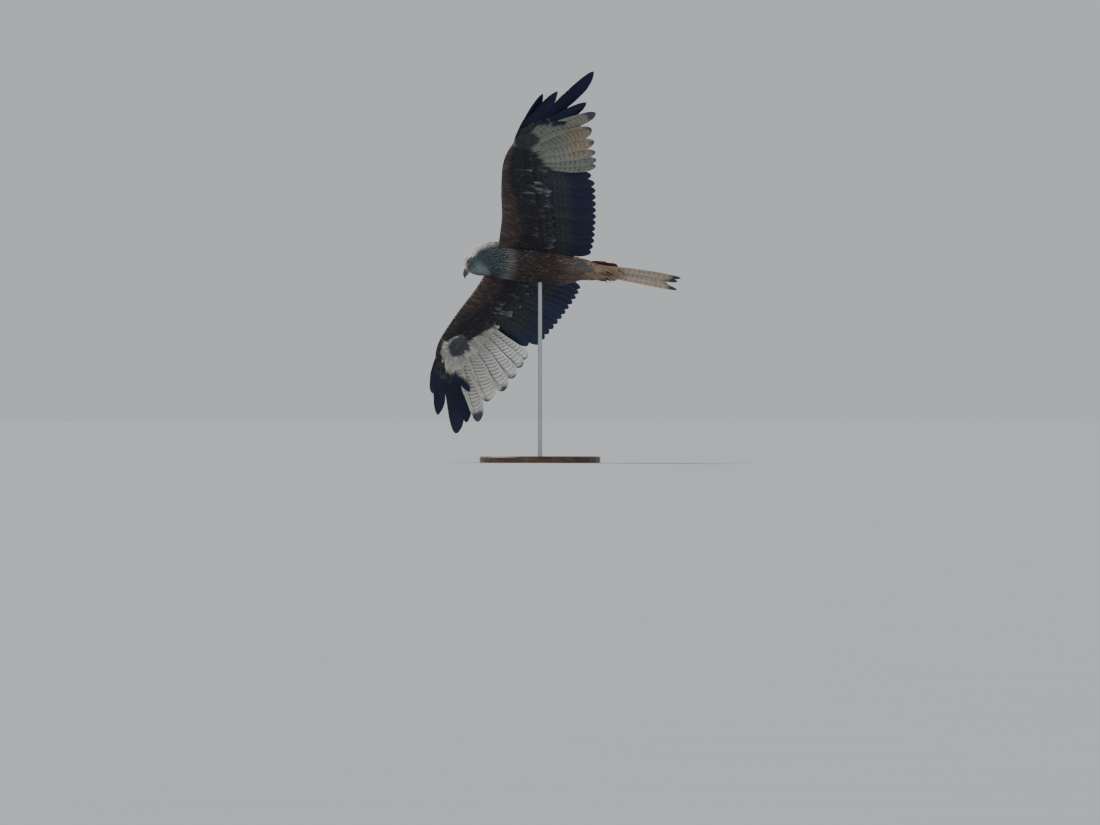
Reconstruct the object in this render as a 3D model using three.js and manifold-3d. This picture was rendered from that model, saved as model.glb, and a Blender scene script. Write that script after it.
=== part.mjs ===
// A red kite in a banked glide, life size, held over a plain round stand.
// Units are millimetres. The bird is modelled in its own frame, +X towards the bill, +Y towards its left
// wing and +Z towards its back, and one group then turns that frame into the banked pose.
// The origin of the whole part is the centre of the stand's underside, with +Z up.
import * as THREE from "three";
import { mergeVertices } from "three/addons/utils/BufferGeometryUtils.js";
import Module from "manifold-3d";

const wasm = await Module();
wasm.setup();

const GAP = 0.3; // clearance between pieces that touch
const SIMPLIFY = 0.1; // edges shorter or flatter than this are merged away
const RAD = Math.PI / 180;

// Pose of the bird over the stand
const HEADING = 190.8 * RAD; // turn about +Z: the bill points to -X and a little to the front
const NOSE_UP = 7.4 * RAD;
const BANK = 38.4 * RAD; // left wing up
const BODY_HEIGHT = 560; // body axis over the floor

// Torso stations from vent to breast: x, axis z, half width, height above the axis, depth below it
const TORSO = [
  [-146, 3, 29, 12, 13],
  [-122, 2, 37, 19, 21],
  [-90, 1, 43, 28, 32],
  [-45, 0, 49, 38, 46],
  [5, 0, 53, 43, 54],
  [55, 0, 55, 45, 58],
  [88, 0, 54, 45, 58],
  [112, -1, 51, 43, 56],
];

// Head frame, turned from the body's: it looks down and into the turn, with the crown kept up
const HEAD_AT = new THREE.Vector3(191, -12, -13); // between the eyes
const HEAD_YAW = -37 * RAD;
const HEAD_DOWN = 37 * RAD;
const HEAD_ROLL = -39 * RAD;
// Neck stations between the torso and the back of the skull: share of the way, half width, up, down
const NECK = [
  [0, 51, 43, 56],
  [0.28, 47, 43, 60],
  [0.55, 40, 38, 65],
  [0.8, 33, 31, 67],
  [1, 28, 26, 66],
];
const NAPE_BEHIND = 15; // the neck ends this far behind the eyes
// Head stations: distance ahead of the eyes, axis z, half width, up, down
const HEAD = [
  [-15, 0, 28, 26, 66],
  [-6, 0, 26.5, 25, 61],
  [4, -0.5, 23.5, 23.5, 53],
  [13, -2, 19, 20, 42],
  [21, -4.5, 14, 15, 29],
  [28, -7, 9.5, 9.5, 12.5],
];
// Upper bill: distance ahead of the eyes, z, half width, up, down
const UPPER_BILL = [
  [28.3, -5.5, 8.6, 8, 6.2],
  [34, -6.5, 7.4, 7.6, 5.6],
  [41, -9.5, 5.6, 6.8, 4.8],
  [46.5, -13.5, 4, 5.4, 4.2],
  [50, -19, 2.2, 3.2, 3.2],
  [50.5, -24.5, 0.8, 1, 1],
];
const LOWER_BILL = [
  [28.3, -14.2, 6.4, 1.7, 2.6],
  [34, -14.4, 5.4, 1.7, 2.4],
  [40, -15.6, 3.8, 1.5, 1.9],
  [44, -17, 1.6, 0.9, 1],
];
// Rows of ahead, side, up, radius
const BROW = [[19, 13, 8, 1], [13, 17.5, 12, 2.2], [4, 21, 12.8, 2.4], [-6, 23, 11.5, 1]];
const GAPE = [[29, 9, -13.4, 0.9], [22, 13.5, -13, 1], [14, 18.6, -12, 1], [9, 20.6, -11, 0.8]];
const NOSTRIL = { ahead: 33, side: 7.6, up: -3.6, radius: 1.7 };
const EYE = { ahead: 4, side: 15.8, up: 4.5, radius: 7.2, opening: 5.4 };

// Flesh of the left wing, from the shoulder to the tip of the hand: y, x of the leading edge, x of the rear
// edge, z, height above it, depth below it. The right wing is its mirror image.
const WING_FLESH = [
  [24, 126, -22, 10, 15, 17],
  [60, 134, 4, 11, 14, 15],
  [110, 141, 36, 11, 12.5, 13.5],
  [180, 153, 74, 10, 11, 12],
  [250, 171, 104, 9, 10, 10.5],
  [320, 187, 130, 8, 9, 9.5],
  [386, 199, 150, 8, 8.5, 9],
  [430, 202, 160, 8, 8, 8.5],
  [468, 198, 168, 9, 6.5, 7],
  [486, 193, 180, 10, 3.5, 3.5],
];
// The left wing is stretched out. The right one is half folded: its wrist lies nearer to the body, so its
// feathers fan out less. wrist is the plane that parts the arm from the hand, and the roots run from the
// innermost feather to the outermost.
const FOLD = {
  left: {
    wrist: 386,
    primaryRoots: [[166, 396, 8], [188, 468, 9]],
    secondaryRoots: [[66, 74, 10], [152, 374, 8]],
  },
  right: {
    wrist: 268,
    primaryRoots: [[122, 284, 8], [188, 446, 9]],
    secondaryRoots: [[66, 74, 10], [116, 258, 9]],
  },
};

// Tips of the primaries, from the innermost to the outermost: x, y, z
const PRIMARY_TIPS = [
  [-60, 437, 12], [-54, 470, 8], [-41, 513, 0], [-24, 567, -7], [-2, 626, -12],
  [11, 704, -14], [46, 730, -4], [54, 826, 30], [129, 736, 14], [166, 684, 44],
];
// Bow towards the leading edge, widths of the outer and inner vane, and where the finger starts to narrow
const PRIMARY_BOW = [8, 8, 9, 10, 11, 11, 10, 7, 10, 7];
const PRIMARY_OUTER = [15, 15, 15, 16, 16, 15, 13, 12, 11, 9];
const PRIMARY_INNER = [32, 33, 36, 40, 43, 42, 37, 34, 31, 26];
const PRIMARY_NOTCH = [1, 1, 1, 1, 1, 0.72, 0.62, 0.54, 0.52, 0.5];
const FINGER_SHARE = 0.8; // width of a finger as a share of the vane before its notch

// Tips of the secondaries, from the body to the wrist: x, y, z
const SECONDARY_TIPS = [
  [-131, 79, -1], [-131, 103, 0], [-129, 128, 1], [-125, 153, 2], [-120, 178, 3], [-116, 203, 4],
  [-111, 228, 5], [-105, 254, 6], [-99, 280, 7], [-92, 307, 9], [-85, 334, 10], [-76, 362, 12],
  [-66, 392, 14],
];
const SECONDARY = { bow: 3, outer: 16, inner: 29 };
const CAMBER = { arm: 5, hand: 3 }; // rise of the feathers' middle over a straight line

const TIP_ROUND = 0.86; // 1 is a tip that narrows to nothing
const LAYER = 1.5; // height between one flight feather and the neighbour it overlaps
const OVERLAP = 1.9; // greatest width of a vane, in spaces between feathers
const VANE_THICK = 0.7;
const SHAFT_THICK = 1.3;
// Rows of coverts: share of the flight feather's length they reach on the arm and on the hand, start ahead
// of its root, height over the flight feathers at the root and at the tip, side (1 back, -1 belly) and how
// many of the outermost primaries go without
const COVERTS = [
  { reach: 0.5, handReach: 0.34, ahead: 8, heights: [3.2, 4.3], side: 1, short: 0 },
  { reach: 0.27, handReach: 0.2, ahead: 28, heights: [5.2, 7.3], side: 1, short: 2 },
  { reach: 0.47, handReach: 0.32, ahead: 8, heights: [3.2, 4.3], side: -1, short: 0 },
  { reach: 0.25, handReach: 0.19, ahead: 28, heights: [5.2, 7.3], side: -1, short: 2 },
];
const COVERT = { outer: 14, inner: 19, layer: 1.2, overlap: 1.5 };
const COVERT_STEP = { arm: 1.5, hand: 1.6 }; // coverts stand this many flight feathers apart
// Three alula feathers at the wrist: lengths, and the step from one to the next
const ALULA = { root: [190, 390, 12], lengths: [88, 68, 48], step: [-7, 0, 1.6], outer: 6, inner: 9 };

// Tail: the feathers lie folded, the outer ones longest
const TAIL = {
  count: 12,
  rootX: -150,
  rootSpread: 40,
  tipSpread: 60,
  sway: 6, // of the tips to the left
  shortest: 224,
  longest: 252,
  width: 28,
  z: 7,
  layer: 1.05, // height between one feather and the next
  drop: 5, // of the tips
  shaft: 0.8,
  tipStart: 0.86, // share of the length where the tip starts to round
  rootWidth: 0.55, // as a share of the full width
};
// Tail coverts, five a row above and below: where they start, length, spread, and height at root and tip
const TAIL_COVERTS = [
  { x: -152, length: 78, spread: 44, heights: [11, 9.5], layer: -1.1, width: 19 },
  { x: -152, length: 92, spread: 42, heights: [-8, -11], layer: 1.1, width: 19 },
];
const TAIL_STUB = [
  [-146.3, 3, 29, 12, 13],
  [-165, 2, 27, 10, 11],
  [-186, 1, 23, 8, 8],
  [-204, 0, 17, 3.5, 3.5],
];

// Thigh stations: x, y, z, radius
const THIGH = [
  [-28, 27, -31, 12],
  [-56, 27, -29, 14.5],
  [-86, 23, -24, 12.5],
  [-108, 18, -20, 9],
  [-121, 15.5, -18.5, 6.2],
];
const TARSUS = [
  [-116, 15.5, -19.5, 4],
  [-138, 15, -16.5, 3.5],
  [-158, 14, -15.5, 3.8],
  [-166, 13.5, -15.5, 4.4],
];
const TOES = [[-6, 24], [0, 31], [6, 23]]; // spread and length of the front toes
const TOE_RADIUS = 3.4;
const CLAW = [[2, 1, 2.2], [-6, -1, 1.5], [-10, -8, 0.3]]; // ahead of the toe's tip, up, radius
// From the ankle: ahead, up, radius
const HIND_TOE = [[3, 0, 3], [8, -5, 2.6], [13, -7, 1.6], [13, -12, 0.4]];

// Stand
const BASE_RADIUS = 170;
const BASE_HEIGHT = 18;
const BASE_EDGE = 3;
const ROD_RADIUS = 6;
const ROD_SUNK = 12; // depth of the rod in the base
const ROD_TOP = BODY_HEIGHT - 18;
const SOCKET_TOP = ROD_TOP + 2;

const RING_POINTS = 18; // of the body, neck and head
const WING_POINTS = 10;
const LIMB_POINTS = 10;
const ROD_SIDES = 18;
const BASE_SIDES = 32;

// A closed solid through rings of the same number of points, each end closed by a fan to its middle.
function loft(rings) {
  const n = rings[0].length;
  const points = rings.flat();
  const middle = (ring) => ring.reduce((sum, p) => sum.add(p), new THREE.Vector3()).divideScalar(n);
  const first = points.push(middle(rings[0])) - 1;
  const last = points.push(middle(rings.at(-1))) - 1;
  const index = [];
  for (let r = 0; r < rings.length - 1; r++) {
    for (let i = 0; i < n; i++) {
      const a = r * n + i;
      const b = r * n + ((i + 1) % n);
      index.push(a, b, b + n, a, b + n, a + n);
    }
  }
  for (let i = 0; i < n; i++) {
    const j = (i + 1) % n;
    const end = (rings.length - 1) * n;
    index.push(first, j, i, last, end + i, end + j);
  }
  return solid(points, index);
}

// A manifold from points and triangles, turned the right way out.
function solid(points, index) {
  const geometry = new THREE.BufferGeometry().setFromPoints(points);
  geometry.setIndex(index);
  return solidOf(geometry);
}

function solidOf(geometry) {
  const bare = geometry.clone();
  bare.deleteAttribute("normal");
  bare.deleteAttribute("uv");
  const merged = mergeVertices(bare, 1e-4);
  const build = (triVerts) =>
    new wasm.Manifold(
      new wasm.Mesh({ numProp: 3, vertProperties: merged.attributes.position.array, triVerts }),
    );
  const made = build(new Uint32Array(merged.index.array));
  return made.volume() > 0 ? made : build(new Uint32Array(merged.index.array).reverse());
}

// The largest closed body of a solid: cuts can leave loose scraps.
function largest(whole) {
  return whole.decompose().reduce((best, piece) => (piece.volume() > best.volume() ? piece : best));
}

function join(pieces) {
  return pieces.reduce((whole, piece) => whole.add(piece));
}

function meshOf(name, whole, colour, roughness = 0.8, metalness = 0) {
  const { numProp, numVert, vertProperties, triVerts } = largest(whole.simplify(SIMPLIFY)).getMesh();
  const positions = new Float32Array(numVert * 3);
  for (let v = 0; v < numVert; v++) {
    positions.set(vertProperties.subarray(v * numProp, v * numProp + 3), v * 3);
  }
  const geometry = new THREE.BufferGeometry();
  geometry.setAttribute("position", new THREE.BufferAttribute(positions, 3));
  geometry.setIndex(new THREE.BufferAttribute(triVerts, 1));
  geometry.computeVertexNormals();
  const material = new THREE.MeshStandardMaterial({ color: colour, roughness, metalness });
  const mesh = new THREE.Mesh(geometry, material);
  mesh.name = name;
  return mesh;
}

// Straight interpolation in a table of rows [key, ...values].
function lookUp(table, key) {
  let i = 0;
  while (i < table.length - 2 && key > table[i + 1][0]) i++;
  const share = (key - table[i][0]) / (table[i + 1][0] - table[i][0]);
  return table[i].slice(1).map((value, k) => THREE.MathUtils.lerp(value, table[i + 1][k + 1], share));
}

// A smooth version of the same: a Catmull-Rom curve through the rows.
function smoothRows(table, count) {
  const columns = table[0].length;
  return Array.from({ length: count }, (_, n) => {
    const t = (n / (count - 1)) * (table.length - 1);
    const i = Math.min(Math.floor(t), table.length - 2);
    const row = (k) => table[THREE.MathUtils.clamp(k, 0, table.length - 1)];
    return Array.from({ length: columns }, (_, c) => {
      const [a, b, d, e] = [row(i - 1)[c], row(i)[c], row(i + 1)[c], row(i + 2)[c]];
      const s = t - i;
      return b + 0.5 * s * (d - a + s * (2 * a - 5 * b + 4 * d - e + s * (3 * (b - d) + e - a)));
    });
  });
}

// An egg-shaped ring about a centre: left and up are unit vectors, and up and down have their own radii.
function eggRing(centre, left, up, halfWidth, above, below, grow = 0) {
  return Array.from({ length: RING_POINTS }, (_, i) => {
    const angle = (i / RING_POINTS) * 2 * Math.PI;
    const height = (Math.sin(angle) > 0 ? above : below) + grow;
    return centre
      .clone()
      .addScaledVector(left, Math.cos(angle) * (halfWidth + grow))
      .addScaledVector(up, Math.sin(angle) * height);
  });
}

const LEFT = new THREE.Vector3(0, 1, 0);
const UP = new THREE.Vector3(0, 0, 1);
const FORWARD = new THREE.Vector3(1, 0, 0);

function torso(grow = 0) {
  const rings = smoothRows(TORSO, 15).map(([x, z, halfWidth, above, below], i, all) => {
    const stretch = i === 0 ? -grow : i === all.length - 1 ? grow : 0;
    return eggRing(new THREE.Vector3(x + stretch, 0, z), LEFT, UP, halfWidth, above, below, grow);
  });
  return loft(rings);
}

const headAngles = new THREE.Euler(HEAD_ROLL, HEAD_DOWN, HEAD_YAW, "ZYX");
const headTurn = new THREE.Quaternion().setFromEuler(headAngles);
const headMatrix = new THREE.Matrix4().compose(HEAD_AT, headTurn, new THREE.Vector3(1, 1, 1));

// A point given in the head's own frame, in the bird's frame.
function inHead(x, y, z) {
  return new THREE.Vector3(x, y, z).applyMatrix4(headMatrix);
}

// The neck's centreline and turn at a share of the way from the breast to the skull.
function neckFrame(share) {
  const [x, z] = TORSO.at(-1);
  const start = new THREE.Vector3(x, 0, z);
  const end = inHead(-NAPE_BEHIND, 0, 0);
  const reach = start.distanceTo(end) / 3;
  const headForward = FORWARD.clone().applyQuaternion(headTurn);
  const curve = new THREE.CubicBezierCurve3(
    start,
    start.clone().addScaledVector(FORWARD, reach),
    end.clone().addScaledVector(headForward, -reach),
    end,
  );
  const turn = new THREE.Quaternion().slerp(headTurn, share);
  const left = LEFT.clone().applyQuaternion(turn);
  const up = UP.clone().applyQuaternion(turn);
  return { centre: curve.getPoint(share), left, up };
}

function neck(grow = 0) {
  const last = 1 - GAP / 80;
  const rings = smoothRows(NECK, 9).map(([share, halfWidth, above, below]) => {
    const { centre, left, up } = neckFrame(THREE.MathUtils.clamp(share, 0, last));
    return eggRing(centre, left, up, halfWidth, above, below, grow);
  });
  for (const p of rings[0]) p.x += GAP - 2 * grow;
  return loft(rings);
}

function headRing(ahead, z, halfWidth, above, below) {
  const left = LEFT.clone().applyQuaternion(headTurn);
  const up = UP.clone().applyQuaternion(headTurn);
  return eggRing(inHead(ahead, 0, z), left, up, halfWidth, above, below);
}

function ball(x, y, z, radius, detail = 12) {
  const geometry = new THREE.SphereGeometry(radius, detail, detail / 2);
  geometry.rotateX(Math.PI / 2);
  geometry.translate(x, y, z);
  geometry.applyMatrix4(headMatrix);
  return solidOf(geometry);
}

// A tube along points of the head, given as rows of ahead, side, up, radius.
function headTube(rows, side, sides = 6) {
  return loft(
    rows.map(([x, y, z, r]) =>
      Array.from({ length: sides }, (_, i) => {
        const angle = (i / sides) * 2 * Math.PI;
        return inHead(x, side * (y + r * Math.cos(angle)), z + r * Math.sin(angle));
      }),
    ),
  );
}

function head() {
  let whole = loft(smoothRows(HEAD, 10).map((row) => headRing(...row)));
  for (const side of [1, -1]) {
    const lids = new THREE.TorusGeometry(EYE.opening + 0.9, 1.1, 5, 12);
    lids.rotateX(Math.PI / 2);
    lids.translate(EYE.ahead, side * (EYE.side + 5.8), EYE.up);
    lids.applyMatrix4(headMatrix);
    const opening = new THREE.CylinderGeometry(EYE.opening + 2.4, EYE.opening, 12, 12);
    if (side < 0) opening.rotateX(Math.PI);
    opening.translate(EYE.ahead, side * (EYE.side + 6), EYE.up);
    opening.applyMatrix4(headMatrix);
    whole = whole
      .add(headTube(BROW, side))
      .subtract(solidOf(opening))
      .add(solidOf(lids))
      .subtract(headTube(GAPE, side, 4))
      .subtract(ball(EYE.ahead, side * EYE.side, EYE.up, EYE.radius + GAP));
  }
  return whole;
}

// The upper bill with its cere, cut by a nostril on each side.
function upperBill() {
  const whole = loft(smoothRows(UPPER_BILL, 9).map((row) => headRing(...row)));
  const { ahead, side, up, radius } = NOSTRIL;
  return whole.subtract(ball(ahead, side, up, radius, 8)).subtract(ball(ahead, -side, up, radius, 8));
}

// A feather: a thin curved vane with points across it on both faces, and both faces split alike.
// path gives the shaft at a share of its length, side the sideways direction of the outer vane, widths the
// reach of the points across, and lean the height gained for each millimetre outwards.
function vane({ path, side, widths, lean, shares, shaft = VANE_THICK, grow = 0 }) {
  const rows = shares.map((t) => {
    const across = widths(t);
    return across.map((w) => {
      const half = (w === 0 ? shaft * (1 - 0.4 * t) : VANE_THICK) / 2 + grow;
      const reach = w + Math.sign(w) * grow;
      const point = (up) => path(t).addScaledVector(side, reach).addScaledVector(UP, lean(t) * reach + up);
      return { high: point(half), low: point(-half) };
    });
  });
  const columns = rows[0].length;
  const points = rows.flat().flatMap(({ high, low }) => [high, low]);
  const at = (r, c, low) => (r * columns + c) * 2 + low;
  const index = [];
  const quad = (a, b, c, d) => index.push(a, b, c, a, c, d);
  for (let r = 0; r < rows.length - 1; r++) {
    for (let c = 0; c < columns - 1; c++) {
      quad(at(r, c, 0), at(r, c + 1, 0), at(r + 1, c + 1, 0), at(r + 1, c, 0));
      quad(at(r, c, 1), at(r + 1, c, 1), at(r + 1, c + 1, 1), at(r, c + 1, 1));
    }
    const edge = columns - 1;
    quad(at(r, 0, 0), at(r + 1, 0, 0), at(r + 1, 0, 1), at(r, 0, 1));
    quad(at(r, edge, 1), at(r + 1, edge, 1), at(r + 1, edge, 0), at(r, edge, 0));
  }
  const last = rows.length - 1;
  for (let c = 0; c < columns - 1; c++) {
    quad(at(0, c, 1), at(0, c + 1, 1), at(0, c + 1, 0), at(0, c, 0));
    quad(at(last, c, 0), at(last, c + 1, 0), at(last, c + 1, 1), at(last, c, 1));
  }
  return solid(points, index);
}

const FLIGHT_SHARES = [0, 0.16, 0.5, 0.88, 1];
const FINGER_SHARES = [0, 0.16, 0.4, 0.56, 0.9, 1];
const TAIL_SHARES = [0, 0.5, 0.93, 1];
const COVERT_SHARES = [0, 0.5, 0.88, 1];

function between(from, to, share) {
  return from.map((value, k) => THREE.MathUtils.lerp(value, to[k], share));
}

// A run of flight feathers from the inside outwards: roots on a line, tips from the table.
function runOf([first, last], tips, bows, camber, ease) {
  const rootOf = (i) => between(first, last, i / (tips.length - 1));
  const feathers = tips.map((tip, i) => ({ root: rootOf(i), tip, bow: bows[i] }));
  return { feathers, camber, ease };
}

// The hand bends up or down only towards the fingers' ends, the arm evenly.
const handEase = (t) => Math.max(0, (t - 0.3) / 0.7) ** 2;
const armEase = (t) => t;
const armBows = SECONDARY_TIPS.map(() => SECONDARY.bow);

function wingOf({ wrist, primaryRoots, secondaryRoots }) {
  return {
    wrist,
    primaries: runOf(primaryRoots, PRIMARY_TIPS, PRIMARY_BOW, CAMBER.hand, handEase),
    secondaries: runOf(secondaryRoots, SECONDARY_TIPS, armBows, CAMBER.arm, armEase),
  };
}

const WINGS = new Map([[1, wingOf(FOLD.left)], [-1, wingOf(FOLD.right)]]);

// The middle sheet of a run at feather number i, which may lie between two, and share t of its length.
function sheet({ feathers, camber, ease }, i, t) {
  const low = THREE.MathUtils.clamp(Math.floor(i), 0, feathers.length - 2);
  const [a, b] = [feathers[low], feathers[low + 1]];
  const root = between(a.root, b.root, i - low);
  const tip = between(a.tip, b.tip, i - low);
  const bow = THREE.MathUtils.lerp(a.bow, b.bow, i - low);
  const [dx, dy] = [tip[0] - root[0], tip[1] - root[1]];
  const length = Math.hypot(dx, dy);
  const curve = t > 0 ? 4 * t * (1 - t) : 0;
  const x = root[0] + dx * t + (dy / length) * bow * curve;
  const y = root[1] + dy * t - (dx / length) * bow * curve;
  return new THREE.Vector3(x, y, root[2] + (tip[2] - root[2]) * (t > 0 ? ease(t) : 0) + camber * curve);
}

// Space to the neighbours and slope of the sheet outwards, at feather number i and share t.
function spread(run, i, t) {
  const inner = sheet(run, Math.max(0, i - 0.5), t);
  const outer = sheet(run, Math.min(run.feathers.length - 1, i + 0.5), t);
  const share = Math.min(run.feathers.length - 1, i + 0.5) - Math.max(0, i - 0.5);
  const { root, tip } = run.feathers[Math.min(Math.round(i), run.feathers.length - 1)];
  const [dx, dy] = [tip[0] - root[0], tip[1] - root[1]];
  const length = Math.hypot(dx, dy);
  const apart = Math.abs((outer.x - inner.x) * (dy / length) - (outer.y - inner.y) * (dx / length));
  const slope = (outer.z - inner.z) / Math.max(apart, 1);
  return { space: apart / share, slope: THREE.MathUtils.clamp(slope, -0.3, 0.3) };
}

// Width of a vane at a share of its length, narrow at the foot and rounded at the tip.
function tipWidth(t) {
  const end = Math.sqrt(Math.max(0, 1 - TIP_ROUND * Math.max(0, (t - 0.78) / 0.22) ** 2));
  return end * THREE.MathUtils.smoothstep(t, -0.12, 0.1);
}

// One feather over the sheet of a run, on the left wing or mirrored to the right one.
function featherOn(run, i, side, shape) {
  const { from = 0, to = 1, heights = [0, 0], notch = 1, spacing = 1 } = shape;
  const { layer, overlap, outer, inner, shaft, shares, grow } = shape;
  const mirror = new THREE.Vector3(1, side, 1);
  const along = (t) => THREE.MathUtils.lerp(from, to, t);
  const direction = sheet(run, i, to).sub(sheet(run, i, Math.max(0, from)));
  const sideways = new THREE.Vector3(direction.y, -direction.x, 0).normalize();
  const calm = (t) => 1 - THREE.MathUtils.smoothstep(along(t), 0.45, 0.7) * (notch < 1);
  const width = (t) => {
    const past = notch < 1 ? THREE.MathUtils.smoothstep(t, notch - 0.08, notch + 0.08) : 0;
    const finger = 1 - (1 - FINGER_SHARE) * past;
    const { space } = spread(run, i, Math.max(0, along(t)));
    return Math.min(1, (overlap * space * spacing) / (outer + inner)) * finger * tipWidth(t);
  };
  return vane({
    path: (t) => {
      const height = THREE.MathUtils.lerp(...heights, t);
      return sheet(run, i, along(t)).addScaledVector(UP, height).multiply(mirror);
    },
    side: sideways.multiply(mirror),
    widths: (t) => [outer, ...(shaft ? [0] : []), -inner].map((reach) => reach * width(t)),
    lean: (t) => {
      const { space, slope } = spread(run, i, Math.max(0, along(t)));
      return slope * calm(t) + layer / Math.max(space * spacing, 5);
    },
    shares,
    shaft,
    grow,
  });
}

// The row of coverts over one run of flight feathers.
function covertRow(run, side, row, { reach, step, short }, grow) {
  const last = run.feathers.length - 1.5 - short;
  return Array.from({ length: Math.round(last / step) + 1 }, (_, k) => {
    const place = 0.4 + k * step;
    const { root, tip } = run.feathers[Math.round(place)];
    const length = Math.hypot(tip[0] - root[0], tip[1] - root[1]);
    return featherOn(run, place, side, {
      ...COVERT,
      spacing: step,
      from: -row.ahead / length,
      to: reach,
      heights: row.heights.map((h) => h * row.side),
      shares: COVERT_SHARES,
      grow,
    });
  });
}

function point(x, y, z, side) {
  return new THREE.Vector3(x, y * side, z);
}

// Flesh of the wing between two values of y: rounded in front, thin behind.
function wingFlesh(side, from, to, grow) {
  const rows = smoothRows(WING_FLESH, 14).filter(([y]) => y > from - 1e-6 && y < to + 1e-6);
  const edge = (y) => [y, ...lookUp(WING_FLESH, y)];
  const all = [edge(from), ...rows.filter(([y]) => y > from + 3 && y < to - 3), edge(to)];
  return loft(
    all.map(([y, front, rear, z, above, below]) =>
      Array.from({ length: WING_POINTS }, (_, i) => {
        const angle = (i / WING_POINTS) * 2 * Math.PI;
        const share = 0.5 + 0.5 * Math.cos(angle);
        const rise = Math.sin(angle) * (0.62 + 0.38 * share);
        const x = THREE.MathUtils.lerp(rear - grow, front + grow, share);
        return point(x, y, z + rise * ((rise > 0 ? above : below) + grow), side);
      }),
    ),
  );
}

function hand(side, grow = 0) {
  const { wrist, primaries } = WINGS.get(side);
  const pieces = [wingFlesh(side, wrist + GAP / 2 - grow, WING_FLESH.at(-1)[0], grow)];
  primaries.feathers.forEach((_, i) => {
    pieces.push(
      featherOn(primaries, i, side, {
        outer: PRIMARY_OUTER[i],
        inner: PRIMARY_INNER[i],
        notch: PRIMARY_NOTCH[i],
        layer: LAYER,
        overlap: OVERLAP,
        shaft: SHAFT_THICK,
        shares: PRIMARY_NOTCH[i] < 1 ? FINGER_SHARES : FLIGHT_SHARES,
        grow,
      }),
    );
  });
  for (const row of COVERTS) {
    const extent = { reach: row.handReach, step: COVERT_STEP.hand, short: row.short };
    pieces.push(...covertRow(primaries, side, row, extent, grow));
  }
  ALULA.lengths.forEach((length, i) => {
    const [x, y, z] = ALULA.root.map((value, k) => value + ALULA.step[k] * i);
    pieces.push(
      vane({
        path: (t) => point(x + 6 * t - 10 * t * t, y + length * t, z + 6 * t * (1 - 0.4 * t), side),
        side: FORWARD,
        widths: (t) => [ALULA.outer * tipWidth(t), -ALULA.inner * tipWidth(t)],
        lean: () => 0.1,
        shares: COVERT_SHARES,
        grow,
      }),
    );
  });
  return join(pieces);
}

function arm(side) {
  const { wrist, secondaries } = WINGS.get(side);
  const pieces = [wingFlesh(side, WING_FLESH[0][0], wrist - GAP / 2, 0)];
  const shape = {
    ...SECONDARY,
    layer: LAYER,
    overlap: OVERLAP,
    shaft: SHAFT_THICK,
    shares: FLIGHT_SHARES,
    grow: 0,
  };
  secondaries.feathers.forEach((_, i) => pieces.push(featherOn(secondaries, i, side, shape)));
  for (const row of COVERTS) {
    const extent = { reach: row.reach, step: COVERT_STEP.arm, short: 0 };
    pieces.push(...covertRow(secondaries, side, row, extent, 0));
  }
  return join(pieces).subtract(torso(GAP)).subtract(neck(GAP)).subtract(hand(side, GAP));
}

// Rings along a bent limb, given as rows of x, y, z, radius.
function limb(rows, side, ringPoints = LIMB_POINTS) {
  const centres = rows.map(([x, y, z]) => point(x, y, z, side));
  return loft(
    rows.map(([, , , radius], i) => {
      const before = centres[Math.max(0, i - 1)];
      const after = centres[Math.min(rows.length - 1, i + 1)];
      const along = after.clone().sub(before).normalize();
      const left = new THREE.Vector3().crossVectors(UP, along).normalize();
      const up = new THREE.Vector3().crossVectors(along, left);
      return Array.from({ length: ringPoints }, (_, k) => {
        const angle = (k / ringPoints) * 2 * Math.PI;
        return centres[i]
          .clone()
          .addScaledVector(left, Math.cos(angle) * radius)
          .addScaledVector(up, Math.sin(angle) * radius);
      });
    }),
  );
}

function leg(side) {
  return limb(smoothRows(THIGH, 7), side).subtract(torso(GAP)).subtract(foot(side, GAP));
}

// Tarsus and four toes folded back under the tail, each with a hooked claw.
function foot(side, grow = 0) {
  const wider = (rows) => rows.map(([x, y, z, r]) => [x, y, z, r + grow]);
  const pieces = [limb(wider(TARSUS), side, 8)];
  const [x, y, z] = TARSUS.at(-1);
  for (const [spread, length] of TOES) {
    const toe = [0, 0.45, 1].map((t) => [
      x - length * t, y + spread * t, z - 5 * t * (1 - t), TOE_RADIUS - t,
    ]);
    const claw = CLAW.map(([dx, dz, r]) => [x - length + dx, y + spread, z + dz, r]);
    pieces.push(limb(wider(toe), side, 6), limb(wider(claw), side, 4));
  }
  const hind = HIND_TOE.map(([dx, dz, r]) => [x + dx, y, z + dz, r]);
  pieces.push(limb(wider(hind), side, 6));
  return grow > 0 ? join(pieces) : join(pieces).subtract(torso(GAP));
}

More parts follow.
